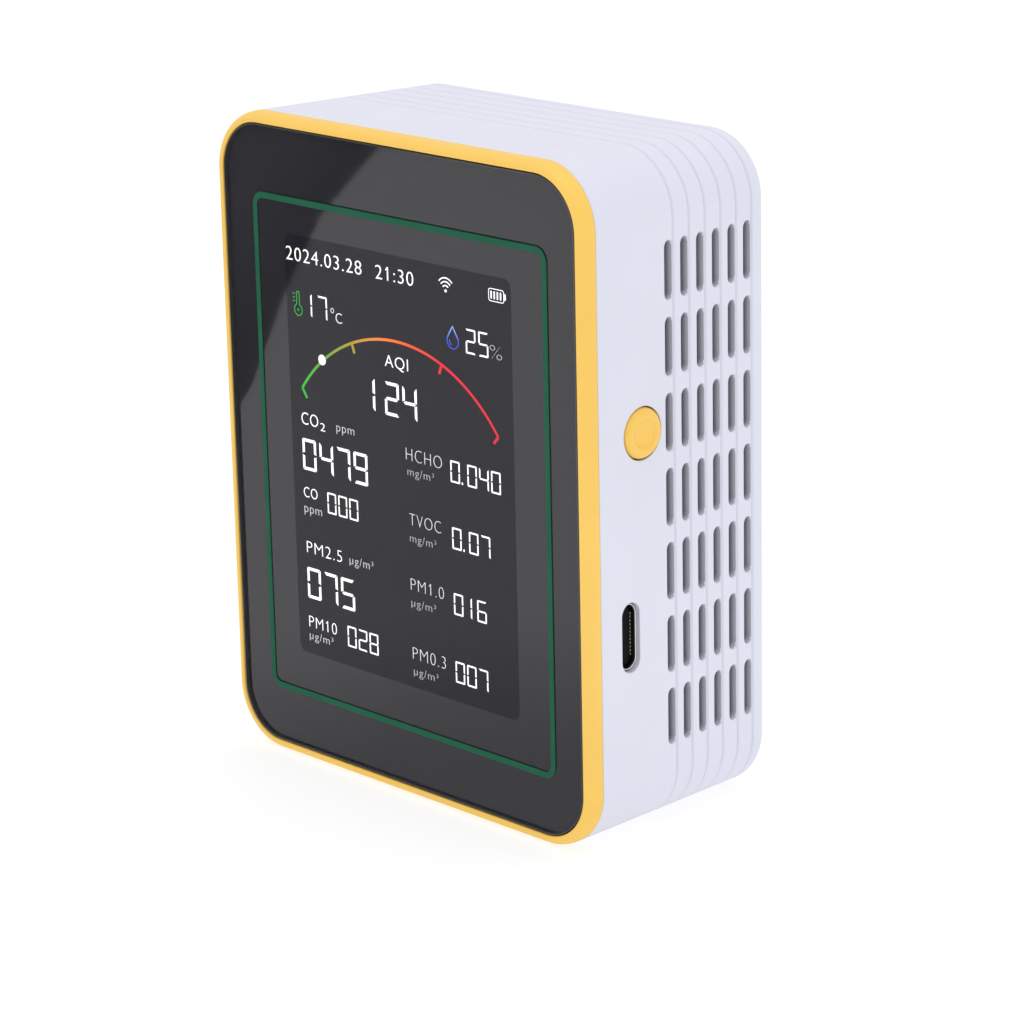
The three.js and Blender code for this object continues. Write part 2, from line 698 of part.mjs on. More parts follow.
function fanRotor() {
  const y0 = PM_LID_BACK + 1;
  const y1 = PM_FLOOR - 1;
  const blades = Array.from({ length: FAN_BLADES }, (_, i) => {
    const blade = new THREE.BoxGeometry(6.4, y1 - y0 - 1, 0.9);
    blade.rotateX(0.35).translate(6.3, (y0 + y1) / 2, 0);
    return blade.rotateY((i / FAN_BLADES) * Math.PI * 2).translate(FAN_X, 0, FAN_HEIGHT);
  });
  return shaped(rodY(4, FAN_X, FAN_HEIGHT, y0, y1), {
    add: blades,
    cut: [rodY(0.86, FAN_X, FAN_HEIGHT, y0 - EPS, y1 + EPS, 16)],
  });
}

const PM_HEADER_X = -3;
const PM_HEADER_Z = 20;

put("pm_sensor_base", pmBase(), blackPlastic());
put("pm_sensor_lid", pmLid(), steel());
put("pm_fan_rotor", fanRotor(), finish(0x2a2c30, 0.5));
put("pm_fan_pin", rodY(0.8, FAN_X, FAN_HEIGHT, PM_LID_BACK + 0.6, PM_FLOOR - 0.03, 16), steel());
put("pm_optic_block", box(5.4, 17.4, PM_LID_BACK + 0.4, PM_FLOOR - 0.05, 9, 41), blackPlastic());
put("pm_header", header(PM_HEADER_X, PM_HEADER_Z, 9.4, 4.6, 3.6), whitePlastic());
put("pm_plug", plug(PM_HEADER_X, PM_HEADER_Z, 9.4, 4.6, 4.8), whitePlastic());
put(
  "pm_cable",
  strip(
    [
      [ON_BOARD + 4.85, PM_HEADER_Z],
      [-3.6, PM_HEADER_Z],
      [-1, 17.6],
      [0.6, 14.4],
      [PM_FRONT - 0.05, 14],
    ],
    0.7,
    PM_HEADER_X - 3.2,
    PM_HEADER_X + 3.2,
    14,
  ),
  finish(0x3a3c40, 0.6),
);

// ---- Gas and climate sensors --------------------------------------------------------------------

put("co2_sensor_board", box(-30, -10.4, ON_BOARD, ON_BOARD + 1.2, 30, 63), blackBoard());
put("co2_sensor_body", box(-29, -11.4, ON_BOARD + 1.23, ON_BOARD + 7.8, 34, 60), gold());
put("co2_membrane", rodY(3.2, -20, 50, ON_BOARD + 7.83, ON_BOARD + 8.3), whitePlastic());
put("hcho_sensor", holedCan(6, 19, 69.5, 6.5, 4, 1), whitePlastic());
put("hcho_membrane", rodY(3.9, 19, 69.5, ON_BOARD + 5.53, ON_BOARD + 6.2), foam());
put("co_sensor", holedCan(5, 16, 51, 7.5, 1.5, 1.5), whitePlastic());
put("voc_sensor", holedCan(4.6, 15, 38, 6.8, 3, 0.8), steel());
put("temp_humidity_sensor", box(-29, -26, ON_BOARD, ON_BOARD + 1, 22.5, 25.5), blackPlastic());

export default model;
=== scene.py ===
import json
import math

import bmesh
import bpy
from mathutils import Matrix, Vector


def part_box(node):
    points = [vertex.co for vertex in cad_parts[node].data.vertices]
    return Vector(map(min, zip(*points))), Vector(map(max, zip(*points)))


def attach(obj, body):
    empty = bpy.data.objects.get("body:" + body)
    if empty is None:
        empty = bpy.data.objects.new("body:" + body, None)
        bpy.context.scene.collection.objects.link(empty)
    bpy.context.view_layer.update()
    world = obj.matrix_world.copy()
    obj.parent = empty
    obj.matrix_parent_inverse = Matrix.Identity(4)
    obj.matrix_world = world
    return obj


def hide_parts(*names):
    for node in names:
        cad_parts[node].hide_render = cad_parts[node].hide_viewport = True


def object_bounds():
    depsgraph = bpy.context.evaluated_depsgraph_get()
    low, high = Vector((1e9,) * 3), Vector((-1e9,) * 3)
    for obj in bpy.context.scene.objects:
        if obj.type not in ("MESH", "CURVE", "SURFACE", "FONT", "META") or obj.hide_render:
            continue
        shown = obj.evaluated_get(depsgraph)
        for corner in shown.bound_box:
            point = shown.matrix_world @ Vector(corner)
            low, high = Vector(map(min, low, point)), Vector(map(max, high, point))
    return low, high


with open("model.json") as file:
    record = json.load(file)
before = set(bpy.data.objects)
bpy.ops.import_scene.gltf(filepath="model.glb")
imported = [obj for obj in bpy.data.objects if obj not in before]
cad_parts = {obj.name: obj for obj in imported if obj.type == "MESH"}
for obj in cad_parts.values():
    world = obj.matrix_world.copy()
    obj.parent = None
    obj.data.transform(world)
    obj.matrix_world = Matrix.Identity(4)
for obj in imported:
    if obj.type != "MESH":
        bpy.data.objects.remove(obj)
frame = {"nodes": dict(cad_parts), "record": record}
cad_low, cad_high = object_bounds()

# ---- Driving dimensions, in millimetres ----

MM = 0.001
case_low, case_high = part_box("front_bezel")
FRONT = case_low.y / MM
BACK = cad_high.y / MM
RIGHT = case_high.x / MM
HEIGHT = case_high.z / MM
MID_HEIGHT = HEIGHT / 2
CORNER_RADIUS = 8.5
CORNER_STEPS = 24
WALL = 2.0

SHELL_FRONT = FRONT + 2.5
SIDE_TAPER = 0.037
TOP_TAPER = 0.016
BACK_EDGE_RADIUS = 2.0
SHELL_LIP_RADIUS = 0.18

COLUMNS = 6
COLUMN_PITCH = 3.03
FIRST_COLUMN = -1.72
ROWS = 7
ROW_PITCH = 9.88
ROWS_MID_HEIGHT = MID_HEIGHT + 0.2
SLOT_WIDTH = 1.71
SLOT_LENGTH = 7.62
SLOT_EDGE_RADIUS = 0.26
SLOT_SHIFT = 0.08
SLOT_REAR_ROUND = 0.85
SLOT_STEPS = 10
GROOVE_START = 0.68
GROOVE_RUN = 0.6
GROOVE_DEPTH = 0.4
GROOVE_FALL = 0.2
GROOVE_STEPS = 16

BEZEL_BACK = FRONT + 2.4
BEZEL_ROUND = 1.96
BEZEL_CREST = 1.08
CREST_FLAT = 0.04
POCKET_INSET = 1.4
LENS_INSET = 1.55
LENS_FRONT = FRONT + 0.2
LENS_BACK = FRONT + 0.55
LENS_EDGE = 0.1
PANE_GAP = 0.02
PANE_SETBACK = 0.01
LEDGE_FRONT = FRONT + 1.6
BEZEL_TONGUE_BACK = BEZEL_BACK + 1.75
BEZEL_TONGUE_WALL = 1.2
BEZEL_TONGUE_GAP = 0.2
BEZEL_ROOT = BEZEL_BACK - 0.3
WINDOW_HALF_WIDTH = 25.5
WINDOW_BOTTOM = 8.8
WINDOW_TOP = 78.8
WINDOW_CORNER = 0.3

BOSS_X = 29.0
BOSS_FROM_END = 6.2
BOSSES = [(x, z) for x in (-BOSS_X, BOSS_X) for z in (BOSS_FROM_END, HEIGHT - BOSS_FROM_END)]
SHELL_BOSS_RADIUS = 3.5
SHELL_BOSS_FRONT = -8.0
WELL_FLOOR = -5.0
WELL_RADIUS = 2.3
WELL_EDGE = 0.25
WELL_REACH = 2.7
BEZEL_BOSS_RADIUS = 2.8
BOSS_GAP = 0.05
BEZEL_HOLE_RADIUS = 1.17
BEZEL_HOLE_END = -14.0
POSTS = [(x, z) for x in (-28.2, 28.2) for z in (17.0, 72.0)]
POST_RADIUS = 2.3
POST_BACK = -12.28
POST_HOLE_RADIUS = 1.04
POST_HOLE_END = -15.0
SCREW_HOLE_RADIUS = 1.3
LABEL_WIDTH = 40.0
LABEL_HEIGHT = 26.0
LABEL_DEPTH = 0.3
LABEL_CORNER = 2.0

BACKING_FRONT = FRONT + 0.66
BACKING_BACK = FRONT + 1.4
SCREEN_FRONT = BACKING_FRONT - 0.012
GRAPHIC_FRONT = SCREEN_FRONT - 0.03
GRAPHIC_BACK = SCREEN_FRONT + 0.01
SCREEN_HALF_WIDTH = 21.72
SCREEN_BOTTOM = 15.6
SCREEN_TOP = 74.25
SCREEN_CORNER = 1.2
SCREEN_SHIFT_X = -0.12
GRAPHIC_SHIFT_X = 0.86
GRAPHIC_SHIFT_Z = 0.35
LINE_HALF_WIDTH = 27.7
LINE_BOTTOM = 9.5
LINE_TOP = 78.8
LINE_CORNER = 1.5
LINE_WIDTH = 0.84
LINE_PROUD = 0.05
LINE_SHADOW = 0.2
SHADOW_PROUD = 0.02
LINE_BACK = BACKING_FRONT + 0.02
RIM_WIDTH = 0.22
LIGHT_OUTPUT = 1.15
CUT_DEPTH = WALL + 0.8
SHARP_ANGLE = 32.0


# ---- Shapes: lists of points in millimetres and of faces ----


def arc(steps):
    """Angles from 0 to a right angle, both included."""
    return [math.pi / 2 * i / steps for i in range(steps + 1)]


def rounding(radius, steps):
    """(inwards, down) from the two sides of a rounded edge, from its side to its top."""
    return [(radius * (1 - math.cos(a)), radius * (1 - math.sin(a))) for a in arc(steps)]


def rounded_rectangle(half_width, bottom, top, radius, steps):
    """Points round a rectangle with round corners, counter-clockwise seen from the front."""
    corners = (
        (half_width - radius, bottom + radius, -math.pi / 2),
        (half_width - radius, top - radius, 0.0),
        (-half_width + radius, top - radius, math.pi / 2),
        (-half_width + radius, bottom + radius, math.pi),
    )
    points = []
    for x, z, start in corners:
        for angle in arc(steps):
            points.append((x + radius * math.cos(start + angle), z + radius * math.sin(start + angle)))
    return points


def circle(radius, steps):
    """Points round a circle."""
    turns = [2 * math.pi * i / steps for i in range(steps)]
    return [(radius * math.cos(a), radius * math.sin(a)) for a in turns]


def stadium(half_width, half_length, steps):
    """Points round a slot with full round ends."""
    reach = half_length - half_width
    points = []
    for start, end in ((0.0, reach), (math.pi, -reach)):
        for i in range(steps + 1):
            angle = start + math.pi * i / steps
            points.append((half_width * math.cos(angle), end + half_width * math.sin(angle)))
    return points


def loft(rings, endless=False):
    """A closed solid through rings of points, with flat ends, or with its last ring joined to its first."""
    count = len(rings[0])
    verts = [point for ring in rings for point in ring]
    last = count * (len(rings) - 1)
    faces = []
    for start in range(0, last + count if endless else last, count):
        after = (start + count) % len(verts)
        for i in range(count):
            j = (i + 1) % count
            faces.append((start + i, start + j, after + j, after + i))
    if not endless:
        faces.append(tuple(range(count - 1, -1, -1)))
        faces.append(tuple(range(last, last + count)))
    return verts, faces


def prism(points, front, back):
    """A plate of an outline drawn in (x, z)."""
    return loft([[(x, y, z) for x, z in points] for y in (front, back)])


def merge(shapes):
    """Several shapes as one."""
    verts = []
    faces = []
    for shape_verts, shape_faces in shapes:
        start = len(verts)
        verts.extend(shape_verts)
        faces.extend(tuple(start + i for i in face) for face in shape_faces)
    return verts, faces


def moved(shape, dx, dz):
    """A shape moved along X and Z."""
    verts, faces = shape
    return [(x + dx, y, z + dz) for x, y, z in verts], faces


def turned_y(profile, x, z, steps=48):
    """A solid turned about Y through (x, z), from (radius, y) points."""
    return loft([[(x + a, y, z + b) for a, b in circle(radius, steps)] for radius, y in profile])


def case_ring(y, inset, taper):
    """The outline of the case at depth y, set in by inset. A tapered one draws in towards the back."""
    run = max(0.0, y - SHELL_FRONT) if taper else 0.0
    half_width = RIGHT - SIDE_TAPER * run - inset
    top = HEIGHT - TOP_TAPER * run - inset
    outline = rounded_rectangle(half_width, inset, top, CORNER_RADIUS - inset, CORNER_STEPS)
    return [(x, y, z) for x, z in outline]


def case_loft(profile, taper=False):
    """A case-shaped solid through (y, inset) points."""
    return loft([case_ring(y, inset, taper) for y, inset in profile])


def side_face(y):
    """How far out the side of the case is at depth y."""
    return RIGHT - SIDE_TAPER * (y - SHELL_FRONT)


def side_opening(outline_at, y, z, edge_radius, side=1):
    """A cutter through a side wall, with a rounded mouth. outline_at gives its outline grown by an amount."""
    steps = [(0.0, CUT_DEPTH), *rounding(edge_radius, 5), (edge_radius, -1.0)]
    rings = []
    for grow, below in steps:
        rings.append([(side * (side_face(y + a) - below), y + a, z + b) for a, b in outline_at(grow)])
    return loft(rings)


# ---- Objects ----


def cleaned(mesh, reach, slivers=False):
    """A mesh with points closer than reach joined, slivers dissolved, and its faces turned outwards."""
    model = bmesh.new()
    model.from_mesh(mesh)
    bmesh.ops.remove_doubles(model, verts=model.verts, dist=MM * reach)
    if slivers:
        bmesh.ops.dissolve_degenerate(model, edges=model.edges, dist=MM * reach)
    bmesh.ops.recalc_face_normals(model, faces=model.faces)
    model.to_mesh(mesh)
    model.free()
    return mesh


def to_mesh(name, shape):
    """A mesh in metres from a shape in millimetres."""
    verts, faces = shape
    mesh = bpy.data.meshes.new(name)
    mesh.from_pydata([Vector(v) * MM for v in verts], [], faces)
    return cleaned(mesh, 1e-4)


def placed(name, data):
    """An object of the scene."""
    thing = bpy.data.objects.new(name, data)
    bpy.context.scene.collection.objects.link(thing)
    return thing


def finished(thing):
    """The mesh of an object with its modifiers applied."""
    return bpy.data.meshes.new_from_object(thing.evaluated_get(bpy.context.evaluated_depsgraph_get()))


def carved(name, base, steps):
    """A shape joined with others and cut by others, in turn, as one clean mesh."""
    body = placed(name, to_mesh(name, base))
    tools = []
    for operation, shape in steps:
        tool = placed("tool", to_mesh("tool", shape))
        tools.append(tool)
        modifier = body.modifiers.new(operation, "BOOLEAN")
        modifier.solver = "MANIFOLD"
        modifier.operation = operation
        modifier.object = tool
    mesh = finished(body)
    for thing in [body, *tools]:
        bpy.data.objects.remove(thing)
    mesh.name = name
    return cleaned(mesh, 1e-3, slivers=True)


def depth_inside(x, y, z):
    """How far a point lies inside the outer face of the rear shell."""
    top = HEIGHT - TOP_TAPER * max(0.0, y - SHELL_FRONT)
    across = side_face(y) - abs(x)
    along = min(z, top - z)
    if across < CORNER_RADIUS and along < CORNER_RADIUS:
        around = CORNER_RADIUS - math.hypot(CORNER_RADIUS - across, CORNER_RADIUS - along)
    else:
        around = min(across, along)
    return min(around, BACK - y)


def in_screw_well(x, z):
    """Whether a point lies on the wall of one of the screw wells."""
    return any(math.hypot(x - a, z - b) < WELL_REACH for a, b in BOSSES)


def paint_inside_shade(mesh, wall, inner):
    """Further materials, both painted shade: on the cut walls of the openings, darker with depth, and
    near-black on the faces inside the case.
    """
    mesh.materials.append(wall)
    mesh.materials.append(inner)
    for face in mesh.polygons:
        x, y, z = (v / MM for v in face.center)
        depth = depth_inside(x, y, z)
        if depth < 2 * LABEL_DEPTH or in_screw_well(x, z):
            continue
        face.material_index = 1 if depth < WALL * 0.98 else 2


def paint_rim_light(mesh, material):
    """Painted light on the inner wall of the lens rim: a grey lighter than the lens ink that lifts the shade
    there, so that no black line shows.
    """
    mesh.materials.append(material)
    for face in mesh.polygons:
        outward = face.normal.x * face.center.x + face.normal.z * (face.center.z - MID_HEIGHT * MM)
        if outward < 0 and abs(face.normal.y) < 0.5:
            face.material_index = 1


def piece(name, mesh, slot, replaces=(), material=None, body="housing"):
    """A finished piece of the model, in the finish of its slot unless it has a material of its own."""
    thing = placed(name, mesh)
    mesh.materials.clear()
    mesh.materials.append(material or FINISHES[slot])
    mesh.shade_smooth()
    mesh.set_sharp_from_angle(angle=math.radians(SHARP_ANGLE))
    thing.modifiers.new("weighted", "WEIGHTED_NORMAL").keep_sharp = True
    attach(thing, body)
    if replaces:
        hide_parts(*replaces)
    return thing


# ---- Materials ----

GRAIN_SCALE = 2600.0
NOISE_LOW = 0.3
NOISE_HIGH = 0.7


def tune(node, values):
    """Sets inputs of a node to constants or to other nodes' outputs."""
    for name, value in values.items():
        if isinstance(value, bpy.types.NodeSocket):
            node.id_data.links.new(value, node.inputs[name])
        else:
            node.inputs[name].default_value = value


def new_node(tree, kind, values, operation=None):
    """A shader node with its operation and its inputs set."""
    node = tree.nodes.new("ShaderNode" + kind)
    if operation:
        node.operation = operation
    tune(node, values)
    return node


def new_material(name, roughness, metallic=0.0, specular=0.5):
    """A material with its node tree and its shader."""
    material = bpy.data.materials.new(name)
    material.use_nodes = True
    shader = material.node_tree.nodes["Principled BSDF"]
    tune(shader, {"Roughness": roughness, "Metallic": metallic, "Specular IOR Level": specular})
    return material, material.node_tree, shader


def object_point(tree):
    """The place on the object, in metres."""
    return new_node(tree, "TexCoord", {}).outputs["Object"]


def noise(tree, scale, stretch=(1.0, 1.0, 1.0), detail=3.0):
    """Noise in the object's own coordinates, in cycles per metre."""
    place = new_node(tree, "Mapping", {"Vector": object_point(tree), "Scale": stretch}).outputs["Vector"]
    return new_node(tree, "TexNoise", {"Vector": place, "Scale": scale, "Detail": detail}).outputs["Fac"]


def ranged(tree, value, start, end, low, high, easing="LINEAR"):
    """A value mapped from start..end to low..high."""
    limits = {"Value": value, "From Min": start, "From Max": end, "To Min": low, "To Max": high}
    span = new_node(tree, "MapRange", limits)
    span.interpolation_type = easing
    return span.outputs["Result"]


def banded(tree, fac, stops):
    """A colour that runs through (place, colour) stops."""
    ramp = new_node(tree, "ValToRGB", {"Fac": fac})
    elements = ramp.color_ramp.elements
    while len(elements) < len(stops):
        elements.new(0.5)
    for element, (at, color) in zip(elements, stops):
        element.position = at
        element.color = (*color, 1.0)
    return ramp.outputs["Color"]


def paint(tree, shader, fac, low, high):
    """A base colour that drifts between two close ones."""
    tune(shader, {"Base Color": banded(tree, fac, ((NOISE_LOW, low), (NOISE_HIGH, high)))})


def polish(tree, shader, fac, low, high):
    """A roughness that drifts between two close ones."""
    tune(shader, {"Roughness": ranged(tree, fac, NOISE_LOW, NOISE_HIGH, low, high)})


def dented(tree, shader, fac, strength, distance):
    """A fine relief on the shader."""
    bump = new_node(tree, "Bump", {"Height": fac, "Strength": strength, "Distance": distance * MM})
    tune(shader, {"Normal": bump.outputs["Normal"]})


def shade(color, factor):
    """A colour made lighter or darker."""
    return tuple(min(1.0, channel * factor) for channel in color)


def plastic(name, color, roughness, grain=GRAIN_SCALE, relief=0.012, drift=0.03, specular=0.5):
    """Moulded plastic: slow drift in colour, fine spark-eroded grain, uneven gloss."""
    material, tree, shader = new_material(name, roughness, specular=specular)
    fine = noise(tree, grain)
    paint(tree, shader, noise(tree, 90.0), shade(color, 1 - drift), shade(color, 1 + drift))
    polish(tree, shader, fine, roughness * 0.92, roughness * 1.08)
    dented(tree, shader, fine, 0.5, relief)
    return material


def opening_wall_painted_shade(name, color, deep):
    """The case plastic on the walls of the side openings, with painted shade: darker with depth."""
    material, tree, shader = new_material(name, 0.5)
    place = new_node(tree, "SeparateXYZ", {"Vector": object_point(tree)}).outputs
    across = new_node(tree, "Math", {0: place["X"]}, "ABSOLUTE").outputs["Value"]
    level = new_node(tree, "Math", {0: place["Y"], 1: SIDE_TAPER, 2: across}, "MULTIPLY_ADD")
    face = RIGHT + SIDE_TAPER * SHELL_FRONT
    light = ranged(tree, level.outputs["Value"], (face - 1.9) * MM, (face - 0.2) * MM, 0.0, 1.0)
    paint(tree, shader, light, deep, color)
    polish(tree, shader, noise(tree, GRAIN_SCALE), 0.46, 0.54)
    return material


def metal(name, color, roughness, stretch=(1.0, 1.0, 1.0), grain=1800.0, relief=0.004):
    """Plated or rolled metal: fine streaks and uneven gloss."""
    material, tree, shader = new_material(name, roughness, metallic=1.0)
    streaks = noise(tree, grain, stretch)
    paint(tree, shader, noise(tree, 250.0), shade(color, 0.93), shade(color, 1.05))
    polish(tree, shader, streaks, roughness * 0.8, roughness * 1.25)
    dented(tree, shader, streaks, 0.4, relief)
    return material


def foam_rubber(name, color):
    """Open foam and tape: matt, with deep pores."""
    material, tree, shader = new_material(name, 0.95, specular=0.15)
    cells = noise(tree, 4200.0, detail=5.0)
    paint(tree, shader, cells, shade(color, 0.6), shade(color, 1.5))
    dented(tree, shader, cells, 0.9, 0.05)
    return material


def laminate(name, mask, copper):
    """Solder mask over copper: broad traces that show faintly through a glossy coat."""
    material, tree, shader = new_material(name, 0.35)
    tracks = new_node(tree, "TexBrick", {
        "Vector": object_point(tree),
        "Scale": 160.0,
        "Mortar Size": 0.03,
        "Color1": (*mask, 1.0),
        "Color2": (*shade(mask, 1.25), 1.0),
        "Mortar": (*copper, 1.0),
    })
    tune(shader, {"Base Color": tracks.outputs["Color"]})
    polish(tree, shader, noise(tree, 1500.0), 0.28, 0.42)
    dented(tree, shader, tracks.outputs["Fac"], 0.3, 0.03)
    return material


def clear_pane(name, alpha):
    """The clear front layer of the lens: only a faint smoke tint."""
    material, tree, shader = new_material(name, 0.2, specular=0.0)
    tune(shader, {"Alpha": alpha})
    paint(tree, shader, noise(tree, 60.0), (0.0005, 0.0005, 0.0005), (0.001, 0.001, 0.001))
    return material


def lens_gloss(name, color, ior):
    """Polished dark acrylic with a very slight ripple in its gloss."""
    material, tree, shader = new_material(name, 0.03)
    tune(shader, {"IOR": ior})
    slow = noise(tree, 40.0)
    paint(tree, shader, slow, shade(color, 0.96), shade(color, 1.04))
    polish(tree, shader, slow, 0.025, 0.035)
    return material


def printed(name, color):
    """Matt, even ink on the back of the pane: the screen-printed frame line, and also the painted shadow
    beside it and the painted light on the rim's inner wall.
    """
    material, tree, shader = new_material(name, 0.7, specular=0.1)
    paint(tree, shader, noise(tree, 200.0), shade(color, 0.95), shade(color, 1.05))
    return material


def lit_ink(name, color, strength):
    """A lit part of the display."""
    material, tree, shader = new_material(name, 0.6, specular=0.1)
    paint(tree, shader, noise(tree, 900.0), shade(color, 0.5), shade(color, 0.6))
    tune(shader, {"Emission Color": (*color, 1.0), "Emission Strength": strength})
    return material


def lit_scale(name, stops, axis, start, end):
    """A lit band whose colour runs along an axis through (place, colour) stops."""
    material, tree, shader = new_material(name, 0.6, specular=0.1)
    place = new_node(tree, "SeparateXYZ", {"Vector": object_point(tree)}).outputs
    color = banded(tree, ranged(tree, place[axis], start * MM, end * MM, 0.0, 1.0), stops)
    tune(shader, {"Base Color": color, "Emission Color": color, "Emission Strength": LIGHT_OUTPUT})
    return material


PANE_ALPHA = 0.08

# Opening walls: the case colour near the mouth, fading to a painted shade deeper in.
OPENING_WALL_SHADE = opening_wall_painted_shade("opening_wall_painted_shade", (0.68, 0.68, 0.75), (0.35, 0.35, 0.41))
# Near-black painted shade on the faces inside the case.
INNER_PAINTED_SHADE = plastic("inner_painted_shade", (0.03, 0.03, 0.033), 0.7, drift=0.15)
BACKING_INK = lens_gloss("backing_ink", (0.0385, 0.037, 0.0445), 1.62)
SCREEN_FACE = lens_gloss("screen_face", (0.0275, 0.0255, 0.034), 1.38)
GREEN_INK = printed("green_ink", (0.024, 0.165, 0.092))
# A painted shadow beside the green frame line.
SHADOW_INK = printed("shadow_ink", (0.012, 0.02, 0.016))
# Painted light: a grey lighter than the lens ink, for the shaded inner wall of the rim.
RIM_PAINTED_LIGHT = printed("rim_painted_light", (0.068, 0.065, 0.072))
USB_STEEL = metal("socket_steel", (0.8, 0.8, 0.82), 0.22, stretch=(0.2, 1.0, 1.0))
# Near-black: the tongue's own plastic, and also the painted shade of the lining inside the socket.
SOCKET_BLACK_AND_SHADE = plastic("socket_black_and_shade", (0.004, 0.004, 0.0045), 0.6, relief=0.0, drift=0.2, specular=0.15)

# The finish of each material slot.
FINISHES = {
    "white_case": plastic("white_abs", (0.755, 0.765, 0.875), 0.48, drift=0.01),
    "yellow_case": plastic("yellow_abs", (0.99, 0.61, 0.108), 0.42),
    "smoked_lens": clear_pane("clear_pane", PANE_ALPHA),
    "foam": foam_rubber("black_foam", (0.016, 0.016, 0.018)),
    "steel": metal("plated_steel", (0.62, 0.62, 0.64), 0.3),
    "gold": metal("gold_plate", (0.92, 0.83, 0.62), 0.6),
    "lcd_glass": plastic("display_glass", (0.012, 0.012, 0.014), 0.12, relief=0.0, drift=0.2),
    "white_plastic": plastic("white_resin", (0.82, 0.82, 0.78), 0.5),
    "black_plastic": plastic("black_resin", (0.02, 0.02, 0.022), 0.5, drift=0.2),
    "green_board": laminate("green_laminate", (0.01, 0.12, 0.05), (0.03, 0.2, 0.07)),
    "black_board": laminate("black_laminate", (0.015, 0.017, 0.02), (0.035, 0.037, 0.04)),
    "copper_film": plastic("amber_film", (0.45, 0.2, 0.04), 0.35, grain=900.0, drift=0.12),
    "silver_pouch": metal("foil_pouch", (0.64, 0.66, 0.68), 0.35, grain=320.0, relief=0.05),
    "red_wire": plastic("red_insulation", (0.5, 0.02, 0.015), 0.45, drift=0.08),
    "black_wire": plastic("black_insulation", (0.013, 0.013, 0.013), 0.45, drift=0.2),
    "grey_ribbon": plastic("grey_ribbon", (0.06, 0.065, 0.07), 0.5, drift=0.12),
}


# ---- Case ----


def groove_depth(t):
    """How deep a groove is at t of its run: a short fall, then a long rise towards the back."""
    if t < GROOVE_FALL:
        return GROOVE_DEPTH * (1 - math.cos(math.pi * t / GROOVE_FALL)) / 2
    return GROOVE_DEPTH * (1 + math.cos(math.pi * (t - GROOVE_FALL) / (1 - GROOVE_FALL))) / 2


def shell_profile():
    """(y, inset) down the outside of the rear shell."""
    profile = [(SHELL_FRONT + a, b) for a, b in rounding(SHELL_LIP_RADIUS, 5)]
    for column in range(COLUMNS):
        start = FIRST_COLUMN + column * COLUMN_PITCH + GROOVE_START
        for step in range(GROOVE_STEPS + 1):
            t = step / GROOVE_STEPS
            profile.append((start + t * GROOVE_RUN, groove_depth(t)))
    profile.extend((BACK - b, a) for a, b in rounding(BACK_EDGE_RADIUS, 12))
    return profile


def vent_slots():
    """Cutters for the slots in both sides. The mouth is rounded towards the back more than the front."""
    def outline(grow):
        ring = stadium(SLOT_WIDTH / 2 + grow, SLOT_LENGTH / 2 + grow, SLOT_STEPS)
        return [(a + SLOT_SHIFT + SLOT_REAR_ROUND * grow, b) for a, b in ring]

    slots = []
    for column in range(COLUMNS):
        for row in range(ROWS):
            y = FIRST_COLUMN + column * COLUMN_PITCH
            z = ROWS_MID_HEIGHT + (row - (ROWS - 1) / 2) * ROW_PITCH
            for side in (-1, 1):
                slots.append(side_opening(outline, y, z, SLOT_EDGE_RADIUS, side))
    return merge(slots)


def rods(places, radius, front, back, steps=48):
    """A rod along Y at each place."""
    return merge([turned_y([(radius, front), (radius, back)], x, z, steps) for x, z in places])


def rear_shell():
    """The white shell: grooved outside, slotted sides, screw wells and a label recess at the back."""
    cavity = case_loft([(SHELL_FRONT - 1, WALL), (BACK - WALL, WALL)], taper=True)
    bosses = rods(BOSSES, SHELL_BOSS_RADIUS, SHELL_BOSS_FRONT, BACK - WALL + 0.5)
    mouth = [(WELL_RADIUS + a, BACK - b) for a, b in rounding(WELL_EDGE, 5)]
    well = [(WELL_RADIUS, WELL_FLOOR), *mouth, (WELL_RADIUS + WELL_EDGE, BACK + 1)]
    wells = merge([turned_y(well, x, z) for x, z in BOSSES])
    holes = rods(BOSSES, SCREW_HOLE_RADIUS, SHELL_BOSS_FRONT - 1, WELL_FLOOR + 1, 24)
    label = rounded_rectangle(
        LABEL_WIDTH / 2, MID_HEIGHT - LABEL_HEIGHT / 2, MID_HEIGHT + LABEL_HEIGHT / 2, LABEL_CORNER, 10)
    recess = prism(label, BACK - LABEL_DEPTH, BACK + 1)
    bore = side_opening(
        lambda grow: circle(BUTTON_BORE + grow, 64), BUTTON_Y, BUTTON_Z, BORE_EDGE)
    socket = side_opening(
        lambda grow: stadium(USB_CUT_HALF_WIDTH + grow, USB_CUT_HALF_LENGTH + grow, USB_STEPS),
        USB_Y, USB_Z, USB_CUT_EDGE)
    return carved("rear_shell_body", case_loft(shell_profile(), taper=True), [
        ("DIFFERENCE", cavity),
        ("UNION", bosses),
        ("DIFFERENCE", wells),
        ("DIFFERENCE", holes),
        ("DIFFERENCE", recess),
        ("DIFFERENCE", vent_slots()),
        ("DIFFERENCE", bore),
        ("DIFFERENCE", socket),
    ])


